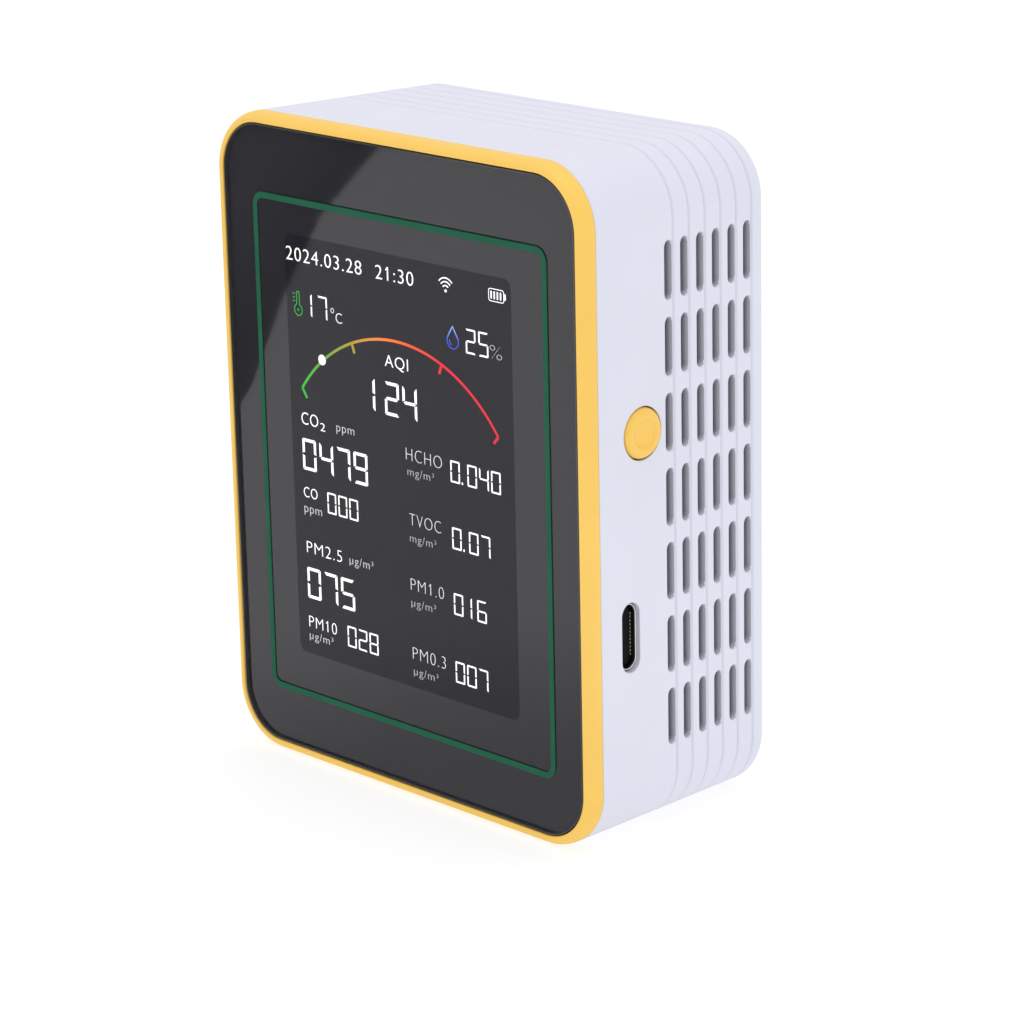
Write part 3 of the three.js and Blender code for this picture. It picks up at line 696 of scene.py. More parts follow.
def front_bezel():
    """The yellow ring round the lens: full round outside, a narrow crest, a pocket for the lens."""
    outside = [(FRONT + b * BEZEL_ROUND, a * BEZEL_CREST) for a, b in reversed(rounding(1.0, 14))]
    body = case_loft([*outside, (BEZEL_BACK, 0.0)])
    edge = POCKET_INSET - BEZEL_CREST - CREST_FLAT
    pocket = [(LEDGE_FRONT, POCKET_INSET)]
    pocket.extend((FRONT + b, POCKET_INSET - a) for a, b in rounding(edge, 6))
    pocket.append((FRONT - 1, POCKET_INSET - edge))
    outer = WALL + BEZEL_TONGUE_GAP
    inner = outer + BEZEL_TONGUE_WALL
    tongue = case_loft([(BEZEL_ROOT, outer), (BEZEL_TONGUE_BACK, outer)])
    tongue_core = case_loft([(BEZEL_BACK + 0.01, inner), (BEZEL_TONGUE_BACK + 1, inner)])
    window = rounded_rectangle(WINDOW_HALF_WIDTH, WINDOW_BOTTOM, WINDOW_TOP, WINDOW_CORNER, 4)
    return carved("front_bezel_body", body, [
        ("UNION", tongue),
        ("DIFFERENCE", tongue_core),
        ("UNION", rods(BOSSES, BEZEL_BOSS_RADIUS, BEZEL_ROOT, SHELL_BOSS_FRONT - BOSS_GAP)),
        ("UNION", rods(POSTS, POST_RADIUS, BEZEL_ROOT, POST_BACK)),
        ("DIFFERENCE", rods(BOSSES, BEZEL_HOLE_RADIUS, BEZEL_HOLE_END, SHELL_BOSS_FRONT + 1, 24)),
        ("DIFFERENCE", rods(POSTS, POST_HOLE_RADIUS, POST_HOLE_END, POST_BACK + 1, 24)),
        ("DIFFERENCE", case_loft(pocket)),
        ("DIFFERENCE", prism(window, LEDGE_FRONT - 1, BEZEL_BACK + 1)),
    ])


def lens_pane():
    """The clear front layer of the lens, inside its dark rim."""
    inset = LENS_INSET + RIM_WIDTH + PANE_GAP
    return to_mesh("lens_pane", case_loft([(LENS_FRONT + PANE_SETBACK, inset), (LENS_BACK, inset)]))


def lens_backing():
    """The dark body of the lens: a tray that holds the clear pane inside a narrow rim."""
    inside = LENS_INSET + RIM_WIDTH
    edge = [(LENS_FRONT + a, LENS_INSET + b) for a, b in rounding(LENS_EDGE, 4)]
    profile = [(BACKING_FRONT, inside), (LENS_FRONT, inside), *edge, (BACKING_BACK, LENS_INSET)]
    return to_mesh("lens_backing", case_loft(profile))


def frame_line(front):
    """A line round the screen: the printed frame line, and also its painted shadow when moved."""
    outlines = []
    for grow in (LINE_WIDTH / 2, -LINE_WIDTH / 2):
        outlines.append(rounded_rectangle(
            LINE_HALF_WIDTH + grow, LINE_BOTTOM - grow, LINE_TOP + grow, LINE_CORNER + grow, 10))
    outer, inner = outlines
    rings = []
    for points, y in ((outer, front), (outer, LINE_BACK), (inner, LINE_BACK), (inner, front)):
        rings.append([(x, y, z) for x, z in points])
    return loft(rings, endless=True)


# ---- Button, socket and screws ----

button_low, button_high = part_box("power_button")
BUTTON_Y = (button_low.y + button_high.y) / 2 / MM
BUTTON_Z = (button_low.z + button_high.z) / 2 / MM
BUTTON_FACE = button_high.x / MM
BUTTON_TIP = button_low.x / MM
FLANGE_RADIUS = (button_high.z - button_low.z) / 2 / MM
BUTTON_RADIUS = FLANGE_RADIUS - 0.9
BUTTON_BORE = BUTTON_RADIUS + 0.17
BORE_EDGE = 0.1
STEM_RADIUS = 1.5
FLANGE_FRONT = side_face(BUTTON_Y + FLANGE_RADIUS) - WALL - 0.2
FLANGE_THICKNESS = 0.8
DISH_RADIUS = 1.6
DISH_DEPTH = 0.32
DISH_MIDDLE = 0.4
CAP_ROUND = 1.0
CREST_WIDTH = 0.2

usb_low, usb_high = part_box("usb_c_shell")
USB_Y = (usb_low.y + usb_high.y) / 2 / MM
USB_Z = (usb_low.z + usb_high.z) / 2 / MM
USB_HALF_WIDTH = (usb_high.y - usb_low.y) / 2 / MM
USB_HALF_LENGTH = (usb_high.z - usb_low.z) / 2 / MM
USB_BACK = usb_low.x / MM
USB_MOUTH = usb_high.x / MM
USB_WALL = 0.2
USB_CUT_HALF_WIDTH = USB_HALF_WIDTH + 0.06
USB_CUT_HALF_LENGTH = USB_HALF_LENGTH + 0.205
USB_CUT_EDGE = 0.16
USB_STEPS = 16
LINER_GAP = 0.01
LINER_THICKNESS = 0.06
LINER_SETBACK = 0.3
CONTACTS = 12
CONTACT_PITCH = 0.5
CONTACT_WIDTH = 0.26
CONTACT_LENGTH = 4.2
CONTACT_INSET = 0.04
CONTACT_PROUD = 0.05
CONTACT_SUNK = 0.15

tongue_low, tongue_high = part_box("usb_c_tongue")
TONGUE_ROOT = tongue_low.x / MM
TONGUE_TIP = tongue_high.x / MM
TONGUE_FACE = tongue_low.y / MM
TONGUE_REAR = tongue_high.y / MM
TONGUE_HALF_LENGTH = (tongue_high.z - tongue_low.z) / 2 / MM
TONGUE_NOSE = 0.25

HEAD_HEIGHT = 1.6
HEAD_RIM = 0.7
SHANK_RADIUS = 1.08
THREAD_PITCH = 0.8
CROSS_WIDTH = 0.48
CROSS_DEPTH = 0.8
THREAD_ROOT = 0.78 * SHANK_RADIUS
NECK_RADIUS = 0.9 * SHANK_RADIUS
NECK_LENGTH = 0.2
TIP_LENGTH = 0.6


def along_x(outline, x, y, z):
    """An outline in (y, z) as a ring at x."""
    return [(x, y + a, z + b) for a, b in outline]


def button_cap():
    """The push button: stem, flange, rounded cap with a raised ring and a shallow dish."""
    profile = [
        (STEM_RADIUS, BUTTON_TIP),
        (STEM_RADIUS, FLANGE_FRONT - FLANGE_THICKNESS),
        (FLANGE_RADIUS, FLANGE_FRONT - FLANGE_THICKNESS),
        (FLANGE_RADIUS, FLANGE_FRONT),
        (BUTTON_RADIUS, FLANGE_FRONT),
    ]
    profile.extend((BUTTON_RADIUS - a, BUTTON_FACE - b) for a, b in rounding(CAP_ROUND, 8))
    crest = BUTTON_RADIUS - CAP_ROUND - CREST_WIDTH
    for step in range(1, 9):
        t = step / 8
        drop = DISH_DEPTH * (1 - math.cos(math.pi * t)) / 2
        profile.append((crest - (crest - DISH_RADIUS) * t, BUTTON_FACE - drop))
    profile.append((DISH_MIDDLE, BUTTON_FACE - DISH_DEPTH - 0.04))
    rings = [along_x(circle(radius, 72), x, BUTTON_Y, BUTTON_Z) for radius, x in profile]
    return to_mesh("button_cap", loft(rings))


def side_tube(steps, half_width, half_length, turns):
    """A slot-shaped solid along X at the socket, through (growth, x) steps."""
    rings = []
    for grow, x in steps:
        outline = stadium(half_width + grow, half_length + grow, turns)
        rings.append(along_x(outline, x, USB_Y, USB_Z))
    return loft(rings)


def usb_shade_liner():
    """A black sheet that lines the sleeve behind its lip: painted shade inside the socket."""
    outside = -USB_WALL - LINER_GAP
    inside = outside - LINER_THICKNESS
    mouth = USB_MOUTH - LINER_SETBACK
    floor_back = USB_BACK + USB_WALL + LINER_GAP
    steps = [(outside, floor_back), (outside, mouth), (inside, mouth), (inside, USB_BACK + 2 * USB_WALL)]
    return to_mesh("usb_shade_liner", side_tube(steps, USB_HALF_WIDTH, USB_HALF_LENGTH, USB_STEPS))


def usb_shell():
    """The socket's drawn steel sleeve, closed at the back, with a rounded lip."""
    steps = [(0.0, USB_BACK)]
    lip = USB_WALL / 2
    for i in range(9):
        angle = math.pi * i / 8
        steps.append((-lip * (1 - math.cos(angle)), USB_MOUTH - lip + lip * math.sin(angle)))
    steps.append((-USB_WALL, USB_BACK + USB_WALL))
    return to_mesh("usb_shell", side_tube(steps, USB_HALF_WIDTH, USB_HALF_LENGTH, USB_STEPS))


def box_shape(low, high):
    """A block between two corners."""
    ring = [(low[0], low[2]), (high[0], low[2]), (high[0], high[2]), (low[0], high[2])]
    return prism(ring, low[1], high[1])


def usb_tongue():
    """The tongue inside the socket, with a rounded nose."""
    steps = [(0.0, TONGUE_ROOT)]
    steps.extend((-a, TONGUE_TIP - b) for a, b in rounding(TONGUE_NOSE, 4))
    half_thick = (TONGUE_REAR - TONGUE_FACE) / 2
    return to_mesh("usb_tongue", side_tube(steps, half_thick, TONGUE_HALF_LENGTH, 10))


def usb_contacts():
    """The rows of flat contacts on both faces of the tongue."""
    half = CONTACT_WIDTH / 2
    strips = []
    for i in range(CONTACTS):
        z = USB_Z + (i - (CONTACTS - 1) / 2) * CONTACT_PITCH
        for face, out in ((TONGUE_FACE, -1), (TONGUE_REAR, 1)):
            strips.append(box_shape(
                (TONGUE_TIP - CONTACT_LENGTH, face - out * CONTACT_SUNK, z - half),
                (TONGUE_TIP - CONTACT_INSET, face + out * CONTACT_PROUD, z + half)))
    return to_mesh("usb_contacts", merge(strips))


def pan_screw(node):
    """A pan-head screw along Y with a cross recess, in the place and size of a CAD node."""
    low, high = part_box(node)
    x = (low.x + high.x) / 2 / MM
    z = (low.z + high.z) / 2 / MM
    tip = low.y / MM
    top = high.y / MM
    head = (high.x - low.x) / 2 / MM
    seat = top - HEAD_HEIGHT
    profile = [(SHANK_RADIUS * 0.35, tip), (SHANK_RADIUS * 0.75, tip + TIP_LENGTH)]
    turns = int((seat - tip - 1.4) / THREAD_PITCH)
    for turn in range(turns):
        base = tip + 0.7 + turn * THREAD_PITCH
        crest = (SHANK_RADIUS, base + THREAD_PITCH * 0.4)
        profile.extend([(THREAD_ROOT, base), crest, (THREAD_ROOT, base + THREAD_PITCH * 0.8)])
    rim = seat + HEAD_RIM
    profile.extend([(NECK_RADIUS, seat - NECK_LENGTH), (NECK_RADIUS, seat), (head, seat), (head, rim)])
    for angle in arc(6)[1:]:
        profile.append((head * (0.45 + 0.55 * math.cos(angle)), rim + (top - rim) * math.sin(angle)))
    arm = head * 0.6
    half = CROSS_WIDTH / 2
    floor_y = top - CROSS_DEPTH
    cross = []
    for a, b in ((arm, half), (half, arm)):
        cross.append(("DIFFERENCE", box_shape((x - a, floor_y, z - b), (x + a, top + 1, z + b))))
    return carved("screw", turned_y(profile, x, z, 40), cross)


# ---- Display graphics ----

SEGMENTS = {
    "0": "abcdef",
    "1": "bc",
    "2": "abged",
    "4": "fgbc",
    "5": "afgcd",
    "6": "afgedc",
    "7": "abc",
    "8": "abcdefg",
    "9": "abcdfg",
}


def ink(points):
    """A thin plate of the given outline on the face of the screen."""
    return prism(points, GRAPHIC_FRONT, GRAPHIC_BACK)


def ribbon(points, width, closed=False):
    """A line of even width through (x, z) points."""
    count = len(points)
    left = []
    right = []
    for i, (x, z) in enumerate(points):
        before = points[i - 1] if closed or i else points[i]
        after = points[(i + 1) % count] if closed or i < count - 1 else points[i]
        along = Vector((after[0] - before[0], after[1] - before[1])).normalized()
        off = Vector((-along.y, along.x)) * width / 2
        left.append((x + off.x, z + off.y))
        right.append((x - off.x, z - off.y))
    plates = []
    for i in range(count if closed else count - 1):
        j = (i + 1) % count
        plates.append(ink([right[i], right[j], left[j], left[i]]))
    return merge(plates)


def segment_outlines(width, height, stroke):
    """The seven segments of a digit cell, with mitred ends and a small gap between them."""
    gap = stroke * 0.12
    half = stroke / 2
    middle = height / 2
    tip = stroke * 0.2
    side = [
        (0.0, middle + gap + half * 0.3),
        (0.0, height - gap - tip),
        (tip * 0.6, height - gap - tip * 0.6),
        (stroke, height - stroke - gap),
        (stroke, middle + half + gap),
    ]
    top = [
        (gap + tip, height),
        (width - gap - tip, height),
        (width - stroke - gap, height - stroke),
        (stroke + gap, height - stroke),
    ]
    bar = [
        (gap + half * 0.8, middle),
        (stroke + gap, middle + half * 0.95),
        (width - stroke - gap, middle + half * 0.95),
        (width - gap - half * 0.8, middle),
        (width - stroke - gap, middle - half * 0.95),
        (stroke + gap, middle - half * 0.95),
    ]
    mirror_x = [(width - x, z) for x, z in side]
    return {
        "f": side,
        "b": mirror_x,
        "e": [(x, height - z) for x, z in side],
        "c": [(x, height - z) for x, z in mirror_x],
        "a": top,
        "d": [(x, height - z) for x, z in top],
        "g": bar,
    }


def number(text, left, bottom, size):
    """A row of seven-segment digits. A full stop takes half a cell."""
    width, height, pitch, stroke = size
    outlines = segment_outlines(width, height, stroke)
    plates = []
    x = left
    for mark in text:
        if mark == ".":
            dot = x - (pitch - width) / 2 + stroke * 0.9
            plates.append(ribbon([(dot, bottom), (dot, bottom + stroke * 1.4)], stroke))
            x += POINT_PITCH
            continue
        for name in SEGMENTS[mark]:
            plates.append(ink([(x + a, bottom + b) for a, b in outlines[name]]))
        x += pitch
    return merge(plates)


def lettering(text, thin):
    """Points and faces of a text in the built-in sans face, thinned, with z from 0 to 1 through it."""
    curve = bpy.data.curves.new("words", "FONT")
    curve.body = text
    curve.offset = -thin
    curve.extrude = 0.5
    curve.space_character = 1.1
    curve.resolution_u = 5
    thing = placed("words", curve)
    mesh = finished(thing)
    points = [(v.co.x, v.co.y, 0.5 - v.co.z) for v in mesh.vertices]
    faces = [tuple(p.vertices) for p in mesh.polygons]
    bpy.data.objects.remove(thing)
    bpy.data.meshes.remove(mesh)
    return points, faces


def words(text, left, bottom, width, height, thin):
    """Text fitted to a box. The face has no flag on its figure 1, so each gets one."""
    points, faces = lettering(text, thin)
    xs = [x for x, y, z in points]
    ys = [y for x, y, z in points]
    across = width / (max(xs) - min(xs))
    up = height / (max(ys) - min(ys))
    thick = GRAPHIC_BACK - GRAPHIC_FRONT
    verts = []
    for x, y, z in points:
        verts.append((left + (x - min(xs)) * across, GRAPHIC_FRONT + z * thick, bottom + (y - min(ys)) * up))
    shapes = [(verts, faces)]
    bar = [x for x, y, z in lettering("1", thin)[0]]
    stroke = (max(bar) - min(bar)) * across
    for i, mark in enumerate(text):
        if mark == "1":
            end = max(x for x, y, z in lettering(text[:i + 1], thin)[0])
            x = left + (end - min(xs)) * across - stroke / 2
            z = bottom + height
            shapes.append(ribbon(
                [(x, z - FLAG_WIDTH * stroke / 2), (x - FLAG_REACH * height, z - FLAG_DROP * height)],
                FLAG_WIDTH * stroke))
    return merge(shapes)


def sweep(x, z, radius, start, end, steps=16):
    """Points on an arc about (x, z), angles in degrees from +X towards +Z."""
    angles = [math.radians(start + (end - start) * i / steps) for i in range(steps + 1)]
    return [(x + radius * math.cos(a), z + radius * math.sin(a)) for a in angles]


THIN = 0.03
MEDIUM = 0.02
FULL = 0.012
FLAG_WIDTH = 0.8
FLAG_REACH = 0.2
FLAG_DROP = 0.24
POINT_PITCH = 0.98
ONE_SHIFT = 0.55
LABEL_LEFT = -20.8
SIDE_LEFT = 0.45
VALUE_LEFT = 8.78
MILLIGRAMS = "mg/m³"
MICROGRAMS = "µg/m³"

# Text, left edge, foot, width, height and thinning.
LABELS = (
    ("CO", LABEL_LEFT + 0.2, 47.9, 3.4, 1.7, FULL),
    ("2", LABEL_LEFT + 4.0, 47.6, 1.0, 1.1, FULL),
    ("CO", LABEL_LEFT + 0.1, 37.65, 2.8, 1.45, FULL),
    ("PM2.5", LABEL_LEFT + 0.3, 29.75, 7.2, 1.65, MEDIUM),
    ("PM10", LABEL_LEFT + 0.2, 19.1, 5.7, 1.6, MEDIUM),
    ("AQI", -3.35, 58.5, 4.5, 1.9, FULL),
    ("2024.03.28", -22.5, 70.35, 15.1, 1.85, FULL),
    ("21:30", -4.65, 70.35, 7.3, 1.85, FULL),
)
SIDE_LABELS = (
    ("HCHO", SIDE_LEFT - 0.2, 46.75, 6.9, 1.65, THIN),
    ("TVOC", SIDE_LEFT + 0.1, 37.9, 6.1, 1.6, THIN),
    ("PM1.0", SIDE_LEFT, 28.9, 6.4, 1.6, THIN),
    ("PM0.3", SIDE_LEFT, 19.25, 6.4, 1.65, THIN),
    ("C", -12.85, 63.1, 1.25, 1.4, FULL),
    ("%", 16.75, 63.2, 2.15, 1.75, THIN),
)
UNITS = (
    ("ppm", -13.5, 47.75, 3.6, 1.2, FULL),
    ("ppm", LABEL_LEFT + 0.1, 35.1, 3.6, 1.25, FULL),
    (MICROGRAMS, -11.75, 29.6, 4.8, 1.55, FULL),
    (MICROGRAMS, LABEL_LEFT + 0.2, 17.0, 4.9, 1.5, FULL),
)
SIDE_UNITS = (
    (MILLIGRAMS, SIDE_LEFT, 44.35, 5.1, 1.45, FULL),
    (MILLIGRAMS, SIDE_LEFT + 0.1, 35.25, 5.1, 1.45, FULL),
    (MICROGRAMS, SIDE_LEFT, 26.3, 4.8, 1.45, FULL),
    (MICROGRAMS, SIDE_LEFT + 0.1, 16.7, 4.8, 1.45, FULL),
)

# Width, height, pitch and stroke of a digit.
BIG = (2.75, 4.4, 3.46, 0.43)
INDEX = (2.75, 4.55, 3.46, 0.43)
SMALL = (1.76, 2.95, 2.22, 0.23)
DEGREES = (1.9, 3.2, 2.1, 0.25)
PERCENT = (1.8, 3.25, 2.35, 0.24)
SMALL_PITCH = SMALL[2]

# Digits, left edge, foot and size.
VALUES = (
    ("1", -19.5, 63.05, DEGREES),
    ("7", -16.45, 63.05, DEGREES),
    ("25", 12.3, 63.1, PERCENT),
    ("1", -5.5 - INDEX[0], 52.2, INDEX),
    ("24", -3.55, 52.2, INDEX),
    ("0479", LABEL_LEFT + 0.2, 41.55, BIG),
    ("075", LABEL_LEFT + 0.2, 23.3, BIG),
    ("000", -15.85, 36.25, SMALL),
    ("028", -12.65, 18.05, SMALL),
    ("0.040", VALUE_LEFT, 45.35, SMALL),
    ("0.07", VALUE_LEFT, 36.3, SMALL),
    ("0", VALUE_LEFT, 27.3, SMALL),
    ("1", VALUE_LEFT + SMALL_PITCH - ONE_SHIFT, 27.3, SMALL),
    ("6", VALUE_LEFT + 2 * SMALL_PITCH, 27.3, SMALL),
    ("007", VALUE_LEFT, 17.9, SMALL),
)

# Places of the signs, and the left, right, bottom and top of the battery.
WIRELESS = (8.75, 70.75)
BATTERY = (16.75, 19.5, 70.7, 72.3)
THERMOMETER = (-20.4, 63.7)
DEGREE = (-13.5, 64.65)
DROP = (9.85, 64.3)


def texts(rows):
    """Several texts as one shape."""
    return merge([words(*row) for row in rows])


def status_icons():
    """The wireless and battery signs."""
    x, z = WIRELESS
    shapes = [ribbon(sweep(x, z, radius, 42, 138), 0.17) for radius in (0.65, 1.15, 1.65)]
    shapes.append(ink(sweep(x, z - 0.05, 0.2, 0, 345, 23)))
    left, right, bottom, top = BATTERY
    outline = [(a + (left + right) / 2, b) for a, b in
               rounded_rectangle((right - left) / 2, bottom, top, 0.3, 5)]
    shapes.append(ribbon(outline, 0.1, closed=True))
    for i in range(4):
        bar = left + 0.46 + i * 0.57
        shapes.append(ribbon([(bar, bottom + 0.3), (bar, top - 0.3)], 0.24))
    shapes.append(ribbon([(right + 0.2, bottom + 0.4), (right + 0.2, top - 0.4)], 0.3))
    return merge(shapes)


def thermometer():
    """The thermometer sign: a tube with a bulb, marks beside it."""
    x, z = THERMOMETER
    bulb = sweep(x, z, 0.78, 112, 428, 24)
    stem = sweep(x, z + 2.25, 0.27, 0, 180, 10)
    shapes = [ribbon([*bulb, *stem], 0.13, closed=True), ink(sweep(x, z, 0.16, 0, 345, 15))]
    for i in range(3):
        mark = z + 1.15 + i * 0.5
        shapes.append(ribbon([(x - 1.05, mark), (x - 0.62, mark)], 0.11))
    return merge(shapes)


def water_drop():
    """The humidity sign: a drop with a gleam inside."""
    x, z = DROP
    belly = sweep(x, z, 1.05, -205, 25, 26)
    outline = [*belly, (x + 0.5, z + 1.15), (x, z + 1.9), (x - 0.5, z + 1.15)]
    return merge([ribbon(outline, 0.17, closed=True), ribbon(sweep(x, z, 0.6, 170, 250, 8), 0.16)])


GAUGE_LEFT = -20.17
GAUGE_RIGHT = 17.93
GAUGE_FOOT = 53.0
GAUGE_RISE = 9.45
GAUGE_WIDTH = 0.38
GAUGE_MARKS = (0.298, 0.703)
GAUGE_POINTER = 0.138
GAUGE_COLORS = (
    (0.0, (0.04, 0.34, 0.045)),
    (0.1, (0.1, 0.28, 0.05)),
    (0.22, (0.2, 0.25, 0.035)),
    (0.34, (0.46, 0.2, 0.045)),
    (0.46, (0.7, 0.15, 0.03)),
    (0.58, (0.62, 0.08, 0.03)),
    (0.72, (0.52, 0.03, 0.045)),
    (1.0, (0.5, 0.028, 0.042)),
)
DROP_FOOT = 63.4
DROP_TOP = 67.0
DROP_COLORS = (
    (0.0, (0.05, 0.05, 0.4)),
    (0.4, (0.05, 0.1, 0.55)),
    (1.0, (0.3, 0.5, 0.9)),
)


def gauge_point(t, shrink=0.0):
    """A point of the gauge's arc, t from 0 at its left end to 1 at its right end."""
    half = (GAUGE_RIGHT - GAUGE_LEFT) / 2
    radius = (half * half + GAUGE_RISE * GAUGE_RISE) / (2 * GAUGE_RISE)
    reach = math.asin(half / radius)
    angle = -reach + 2 * reach * t
    x = (GAUGE_LEFT + GAUGE_RIGHT) / 2 + (radius - shrink) * math.sin(angle)
    return x, GAUGE_FOOT + GAUGE_RISE - radius + (radius - shrink) * math.cos(angle)


def gauge():
    """The arc of the index, with a hook at each end and two marks inside it."""
    line = [gauge_point(i / 60) for i in range(61)]
    first = line[0]
    last = line[-1]
    shapes = [
        ribbon(line, GAUGE_WIDTH),
        ribbon([first, (first[0] + 0.9, first[1] - 1.3)], 0.4),
        ribbon([last, (last[0] - 0.85, last[1] - 1.0)], 0.4),
    ]
    for t in GAUGE_MARKS:
        shapes.append(ribbon([gauge_point(t), gauge_point(t, 1.4)], 0.44))
    return merge(shapes)


def gauge_dot():
    """The pointer of the index."""
    x, z = gauge_point(GAUGE_POINTER)
    verts, faces = ink(sweep(x, z + 0.2, 0.72, 0, 350, 35))
    return [(a, b - 0.01, c) for a, b, c in verts], faces


def display():
    """The dark screen and everything lit on it."""
    face = rounded_rectangle(SCREEN_HALF_WIDTH, SCREEN_BOTTOM, SCREEN_TOP, SCREEN_CORNER, 10)
    face = [(x + SCREEN_SHIFT_X, z) for x, z in face]
    white = lit_ink("lit_white", (1.0, 1.0, 1.0), LIGHT_OUTPUT)
    soft = lit_ink("lit_soft", (0.95, 0.95, 0.96), LIGHT_OUTPUT * 0.7)
    grey = lit_ink("lit_grey", (0.8, 0.8, 0.82), LIGHT_OUTPUT * 0.5)
    dim = lit_ink("lit_dim", (0.8, 0.8, 0.82), LIGHT_OUTPUT * 0.26)
    green = lit_ink("lit_green", (0.04, 0.36, 0.08), LIGHT_OUTPUT)
    blue = lit_scale("lit_blue", DROP_COLORS, "Z", DROP_FOOT, DROP_TOP)
    left, right = (x + GRAPHIC_SHIFT_X for x in (GAUGE_LEFT, GAUGE_RIGHT))
    scale = lit_scale("lit_gauge", GAUGE_COLORS, "X", left, right)
    degree_ring = ribbon(sweep(*DEGREE, 0.3, 0, 345, 15), 0.09, closed=True)
    shapes = (
        ("screen_face", prism(face, SCREEN_FRONT, BACKING_FRONT + 0.05), SCREEN_FACE),
        ("screen_labels", texts(LABELS), white),
        ("screen_values", merge([number(*row) for row in VALUES]), white),
        ("screen_side_labels", merge([texts(SIDE_LABELS), degree_ring]), soft),
        ("screen_units", texts(UNITS), grey),
        ("screen_side_units", texts(SIDE_UNITS), dim),
        ("screen_status_icons", status_icons(), white),
        ("screen_thermometer", thermometer(), green),
        ("screen_drop", water_drop(), blue),
        ("screen_gauge", gauge(), scale),
        ("screen_gauge_dot", gauge_dot(), white),
    )
    for name, shape, material in shapes:
        if material is not SCREEN_FACE:
            shape = moved(shape, GRAPHIC_SHIFT_X, GRAPHIC_SHIFT_Z)
        piece(name, to_mesh(name, shape), "lcd_glass", material=material)


# ---- The model ----


def visible_pieces():
    """Pieces that stand for CAD nodes seen from outside."""
    case = piece("white_rear_case", rear_shell(), "white_case", ["rear_shell"])
    # Painted shade on the walls of the openings and inside the case.
    paint_inside_shade(case.data, OPENING_WALL_SHADE, INNER_PAINTED_SHADE)
    piece("yellow_bezel", front_bezel(), "yellow_case", ["front_bezel"])
    piece("lens_front_pane", lens_pane(), "smoked_lens", ["front_lens"])
    backing = piece("lens_back_print", lens_backing(), "smoked_lens", material=BACKING_INK)
    # Painted light on the inner wall of the rim.
    paint_rim_light(backing.data, RIM_PAINTED_LIGHT)
    line = frame_line(BACKING_FRONT - LINE_PROUD)
    # The dark copy of the frame line, moved up and right, is its painted shadow.
    shadow = moved(frame_line(BACKING_FRONT - SHADOW_PROUD), LINE_SHADOW, LINE_SHADOW)
    piece("lens_frame_line", to_mesh("frame_line", line), "smoked_lens", material=GREEN_INK)
    piece("lens_frame_shadow", to_mesh("frame_shadow", shadow), "smoked_lens", material=SHADOW_INK)
    piece("button_cap", button_cap(), "yellow_case", ["power_button"], body="button")
    piece("usb_sleeve", usb_shell(), "steel", ["usb_c_shell"], USB_STEEL)
    piece("usb_tongue_body", usb_tongue(), "black_plastic", ["usb_c_tongue"], SOCKET_BLACK_AND_SHADE)
    # A black lining that paints shade inside the socket.
    piece("usb_painted_shade_lining", usb_shade_liner(), "black_plastic", material=SOCKET_BLACK_AND_SHADE)
    piece("usb_contact_rows", usb_contacts(), "gold")
    for i in range(1, 5):
        node = f"case_screw_{i}"
        piece(f"case_screw_head_{i}", pan_screw(node), "steel", [node])


def finish_cad_nodes():
    """Gives each carried-over CAD node the material of its slot."""
    for part in frame["record"]["subparts"]:
        node = frame["nodes"].get(part["node"])
        if node:
            node.data.materials.clear()
            node.data.materials.append(FINISHES[part["material_slot"]])


# ---- Stage ----

WHITE = (1.0, 1.0, 1.0, 1.0)
FLOOR_HALF_SIZE = 5000.0
FLOOR_THICKNESS = 10.0
FLOOR_LIGHT = 0.74
FLOOR_GLOW = 1.06
CARD_EDGE = ((-424, -410), (-349.5, -326), (-294, -257), (-238.9, -199), (-182.4, -142), (-120, -70))
CARD_FAR_SIDE = ((-700, 300), (-1500, -600), (-900, -1500))
CARD_SLANT = 0.877
CARD_FADE = (70.5, 96.5)
CARD_GLOW = 0.1 * FLOOR_GLOW
SHADE_X = 8.0
SHADE_Y = -22.0
SHADE_CORE = 8.0
SHADE_RADIUS = 88.0
SHADE_GLOW = 0.45 * FLOOR_GLOW
SKY_STRENGTH = 0.85
LAMP_PLACE = (0.1, -0.1, 1.5)
LAMP_SIZE = 1.2
LAMP_POWER = 4.5


def floor():
    """A plain white floor."""
    size = FLOOR_HALF_SIZE
    slab = prism(rounded_rectangle(size, -FLOOR_THICKNESS, 0, 1, 2), -size, size)
    ground = placed("floor", to_mesh("floor", slab))
    material, tree, shader = new_material("floor_white", 0.9, specular=0.0)
    paint(tree, shader, noise(tree, 8.0), (0.32, 0.32, 0.32), (0.34, 0.34, 0.34))
    tune(shader, {"Emission Color": WHITE, "Emission Strength": FLOOR_LIGHT})
    ground.data.materials.append(material)


def glowing_card(name, shape, operation, against, fade, glow, easing="LINEAR"):
    """A black card that only reflections see: a painted reflection. Its glow runs along a measure of the
    place on it.
    """
    card = placed(name, to_mesh(name, shape))
    material, tree, shader = new_material(name, 1.0, specular=0.0)
    measure = new_node(tree, "VectorMath", {0: object_point(tree), 1: against}, operation)
    level = ranged(tree, measure.outputs["Value"], fade[0] * MM, fade[1] * MM, *glow, easing)
    tune(shader, {"Emission Color": WHITE, "Emission Strength": level})
    paint(tree, shader, noise(tree, 5.0), (0.002, 0.002, 0.002), (0.004, 0.004, 0.004))
    card.data.materials.append(material)
    for sight in ("camera", "diffuse", "shadow", "transmission"):
        setattr(card, "visible_" + sight, False)


def flag_card():
    """A black card laid on the floor to the front left, painted into the lens's reflection as its dark part.
    """
    outline = [*CARD_EDGE, *CARD_FAR_SIDE]
    shape = loft([[(x, y, z) for x, y in outline] for z in (1, 2)])
    slant = (-1.0, CARD_SLANT, 0.0)
    glowing_card("flag_card", shape, "DOT_PRODUCT", slant, CARD_FADE, (0.0, CARD_GLOW))


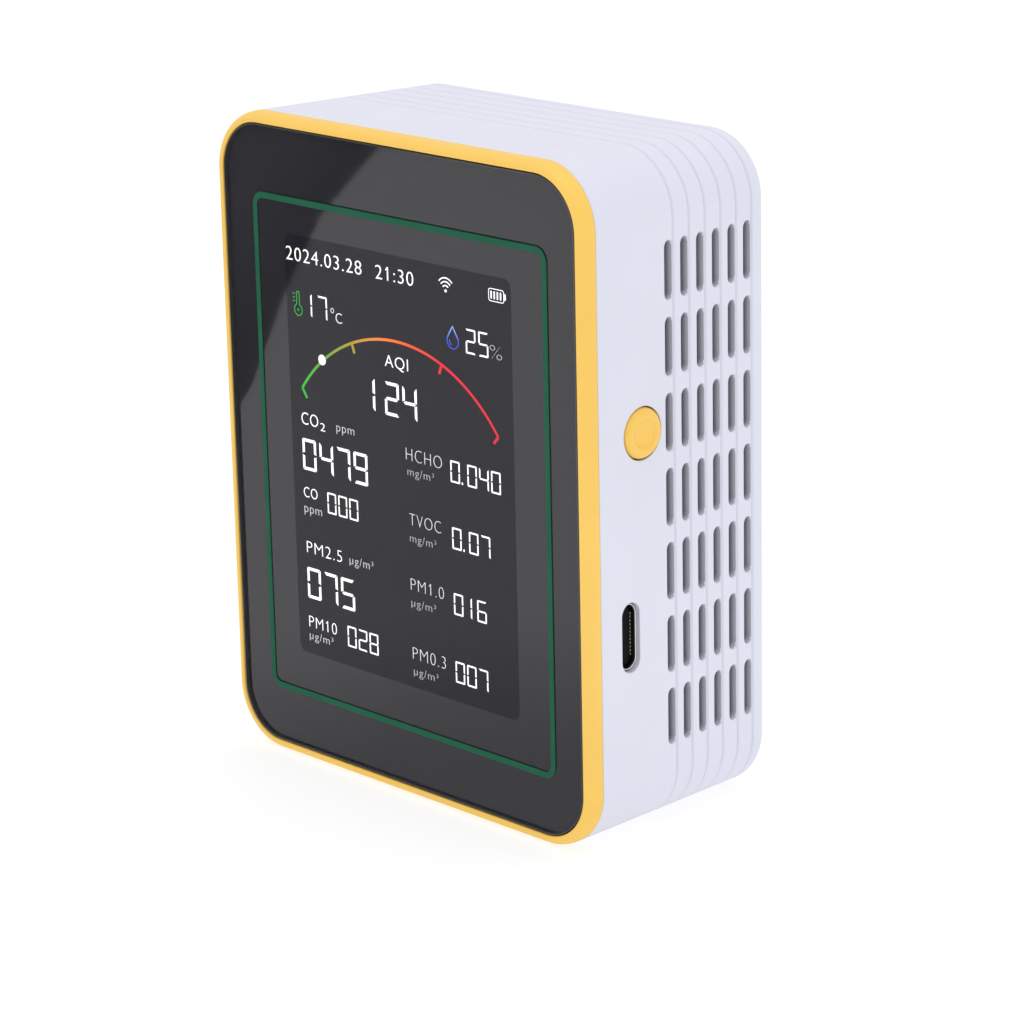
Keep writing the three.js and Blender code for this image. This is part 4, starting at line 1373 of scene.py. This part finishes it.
def near_shade():
    """A faint round shade on the floor by the front of the object."""
    disc = circle(SHADE_RADIUS, 48)
    shape = loft([[(SHADE_X + x, SHADE_Y + y, z) for x, y in disc] for z in (0.2, 0.6)])
    middle = (SHADE_X * MM, SHADE_Y * MM, 0.0)
    fade = (SHADE_CORE, SHADE_RADIUS)
    glowing_card("near_shade", shape, "DISTANCE", middle, fade, (SHADE_GLOW, FLOOR_GLOW), "SMOOTHSTEP")


def soft_light():
    """A large soft light above the object."""
    data = bpy.data.lights.new("overhead", "AREA")
    data.shape = "SQUARE"
    data.size = LAMP_SIZE
    data.energy = LAMP_POWER
    lamp = placed("overhead", data)
    lamp.location = LAMP_PLACE
    lamp.rotation_euler = (-Vector(LAMP_PLACE)).to_track_quat("-Z", "Y").to_euler()


def surroundings():
    """An even white surround."""
    world = bpy.data.worlds.new("studio")
    world.use_nodes = True
    tune(world.node_tree.nodes["Background"], {"Color": WHITE, "Strength": SKY_STRENGTH})
    bpy.context.scene.world = world
    bpy.context.scene.view_settings.view_transform = "Standard"


CAMERA_AZIMUTH = 46.41
CAMERA_ELEVATION = 16.435
CAMERA_ROLL = -1.241
CAMERA_DISTANCE = 493.92
CAMERA_TARGET = (3.30, 0.0, 36.66)
CAMERA_LENS = 129.08
SENSOR_WIDTH = 36.0


def camera():
    """The camera, level with the upper right front of the object."""
    data = bpy.data.cameras.new("camera")
    data.lens = CAMERA_LENS
    data.sensor_width = SENSOR_WIDTH
    eye = placed("camera", data)
    turn = math.radians(CAMERA_AZIMUTH)
    rise = math.radians(CAMERA_ELEVATION)
    level = math.cos(rise)
    away = Vector((math.sin(turn) * level, -math.cos(turn) * level, math.sin(rise)))
    place = Matrix.Translation((Vector(CAMERA_TARGET) + away * CAMERA_DISTANCE) * MM)
    aim = (-away).to_track_quat("-Z", "Y").to_matrix().to_4x4()
    eye.matrix_world = place @ aim @ Matrix.Rotation(math.radians(CAMERA_ROLL), 4, "Z")
    bpy.context.scene.camera = eye


camera()
surroundings()
floor()
flag_card()
near_shade()
soft_light()
visible_pieces()
display()
finish_cad_nodes()
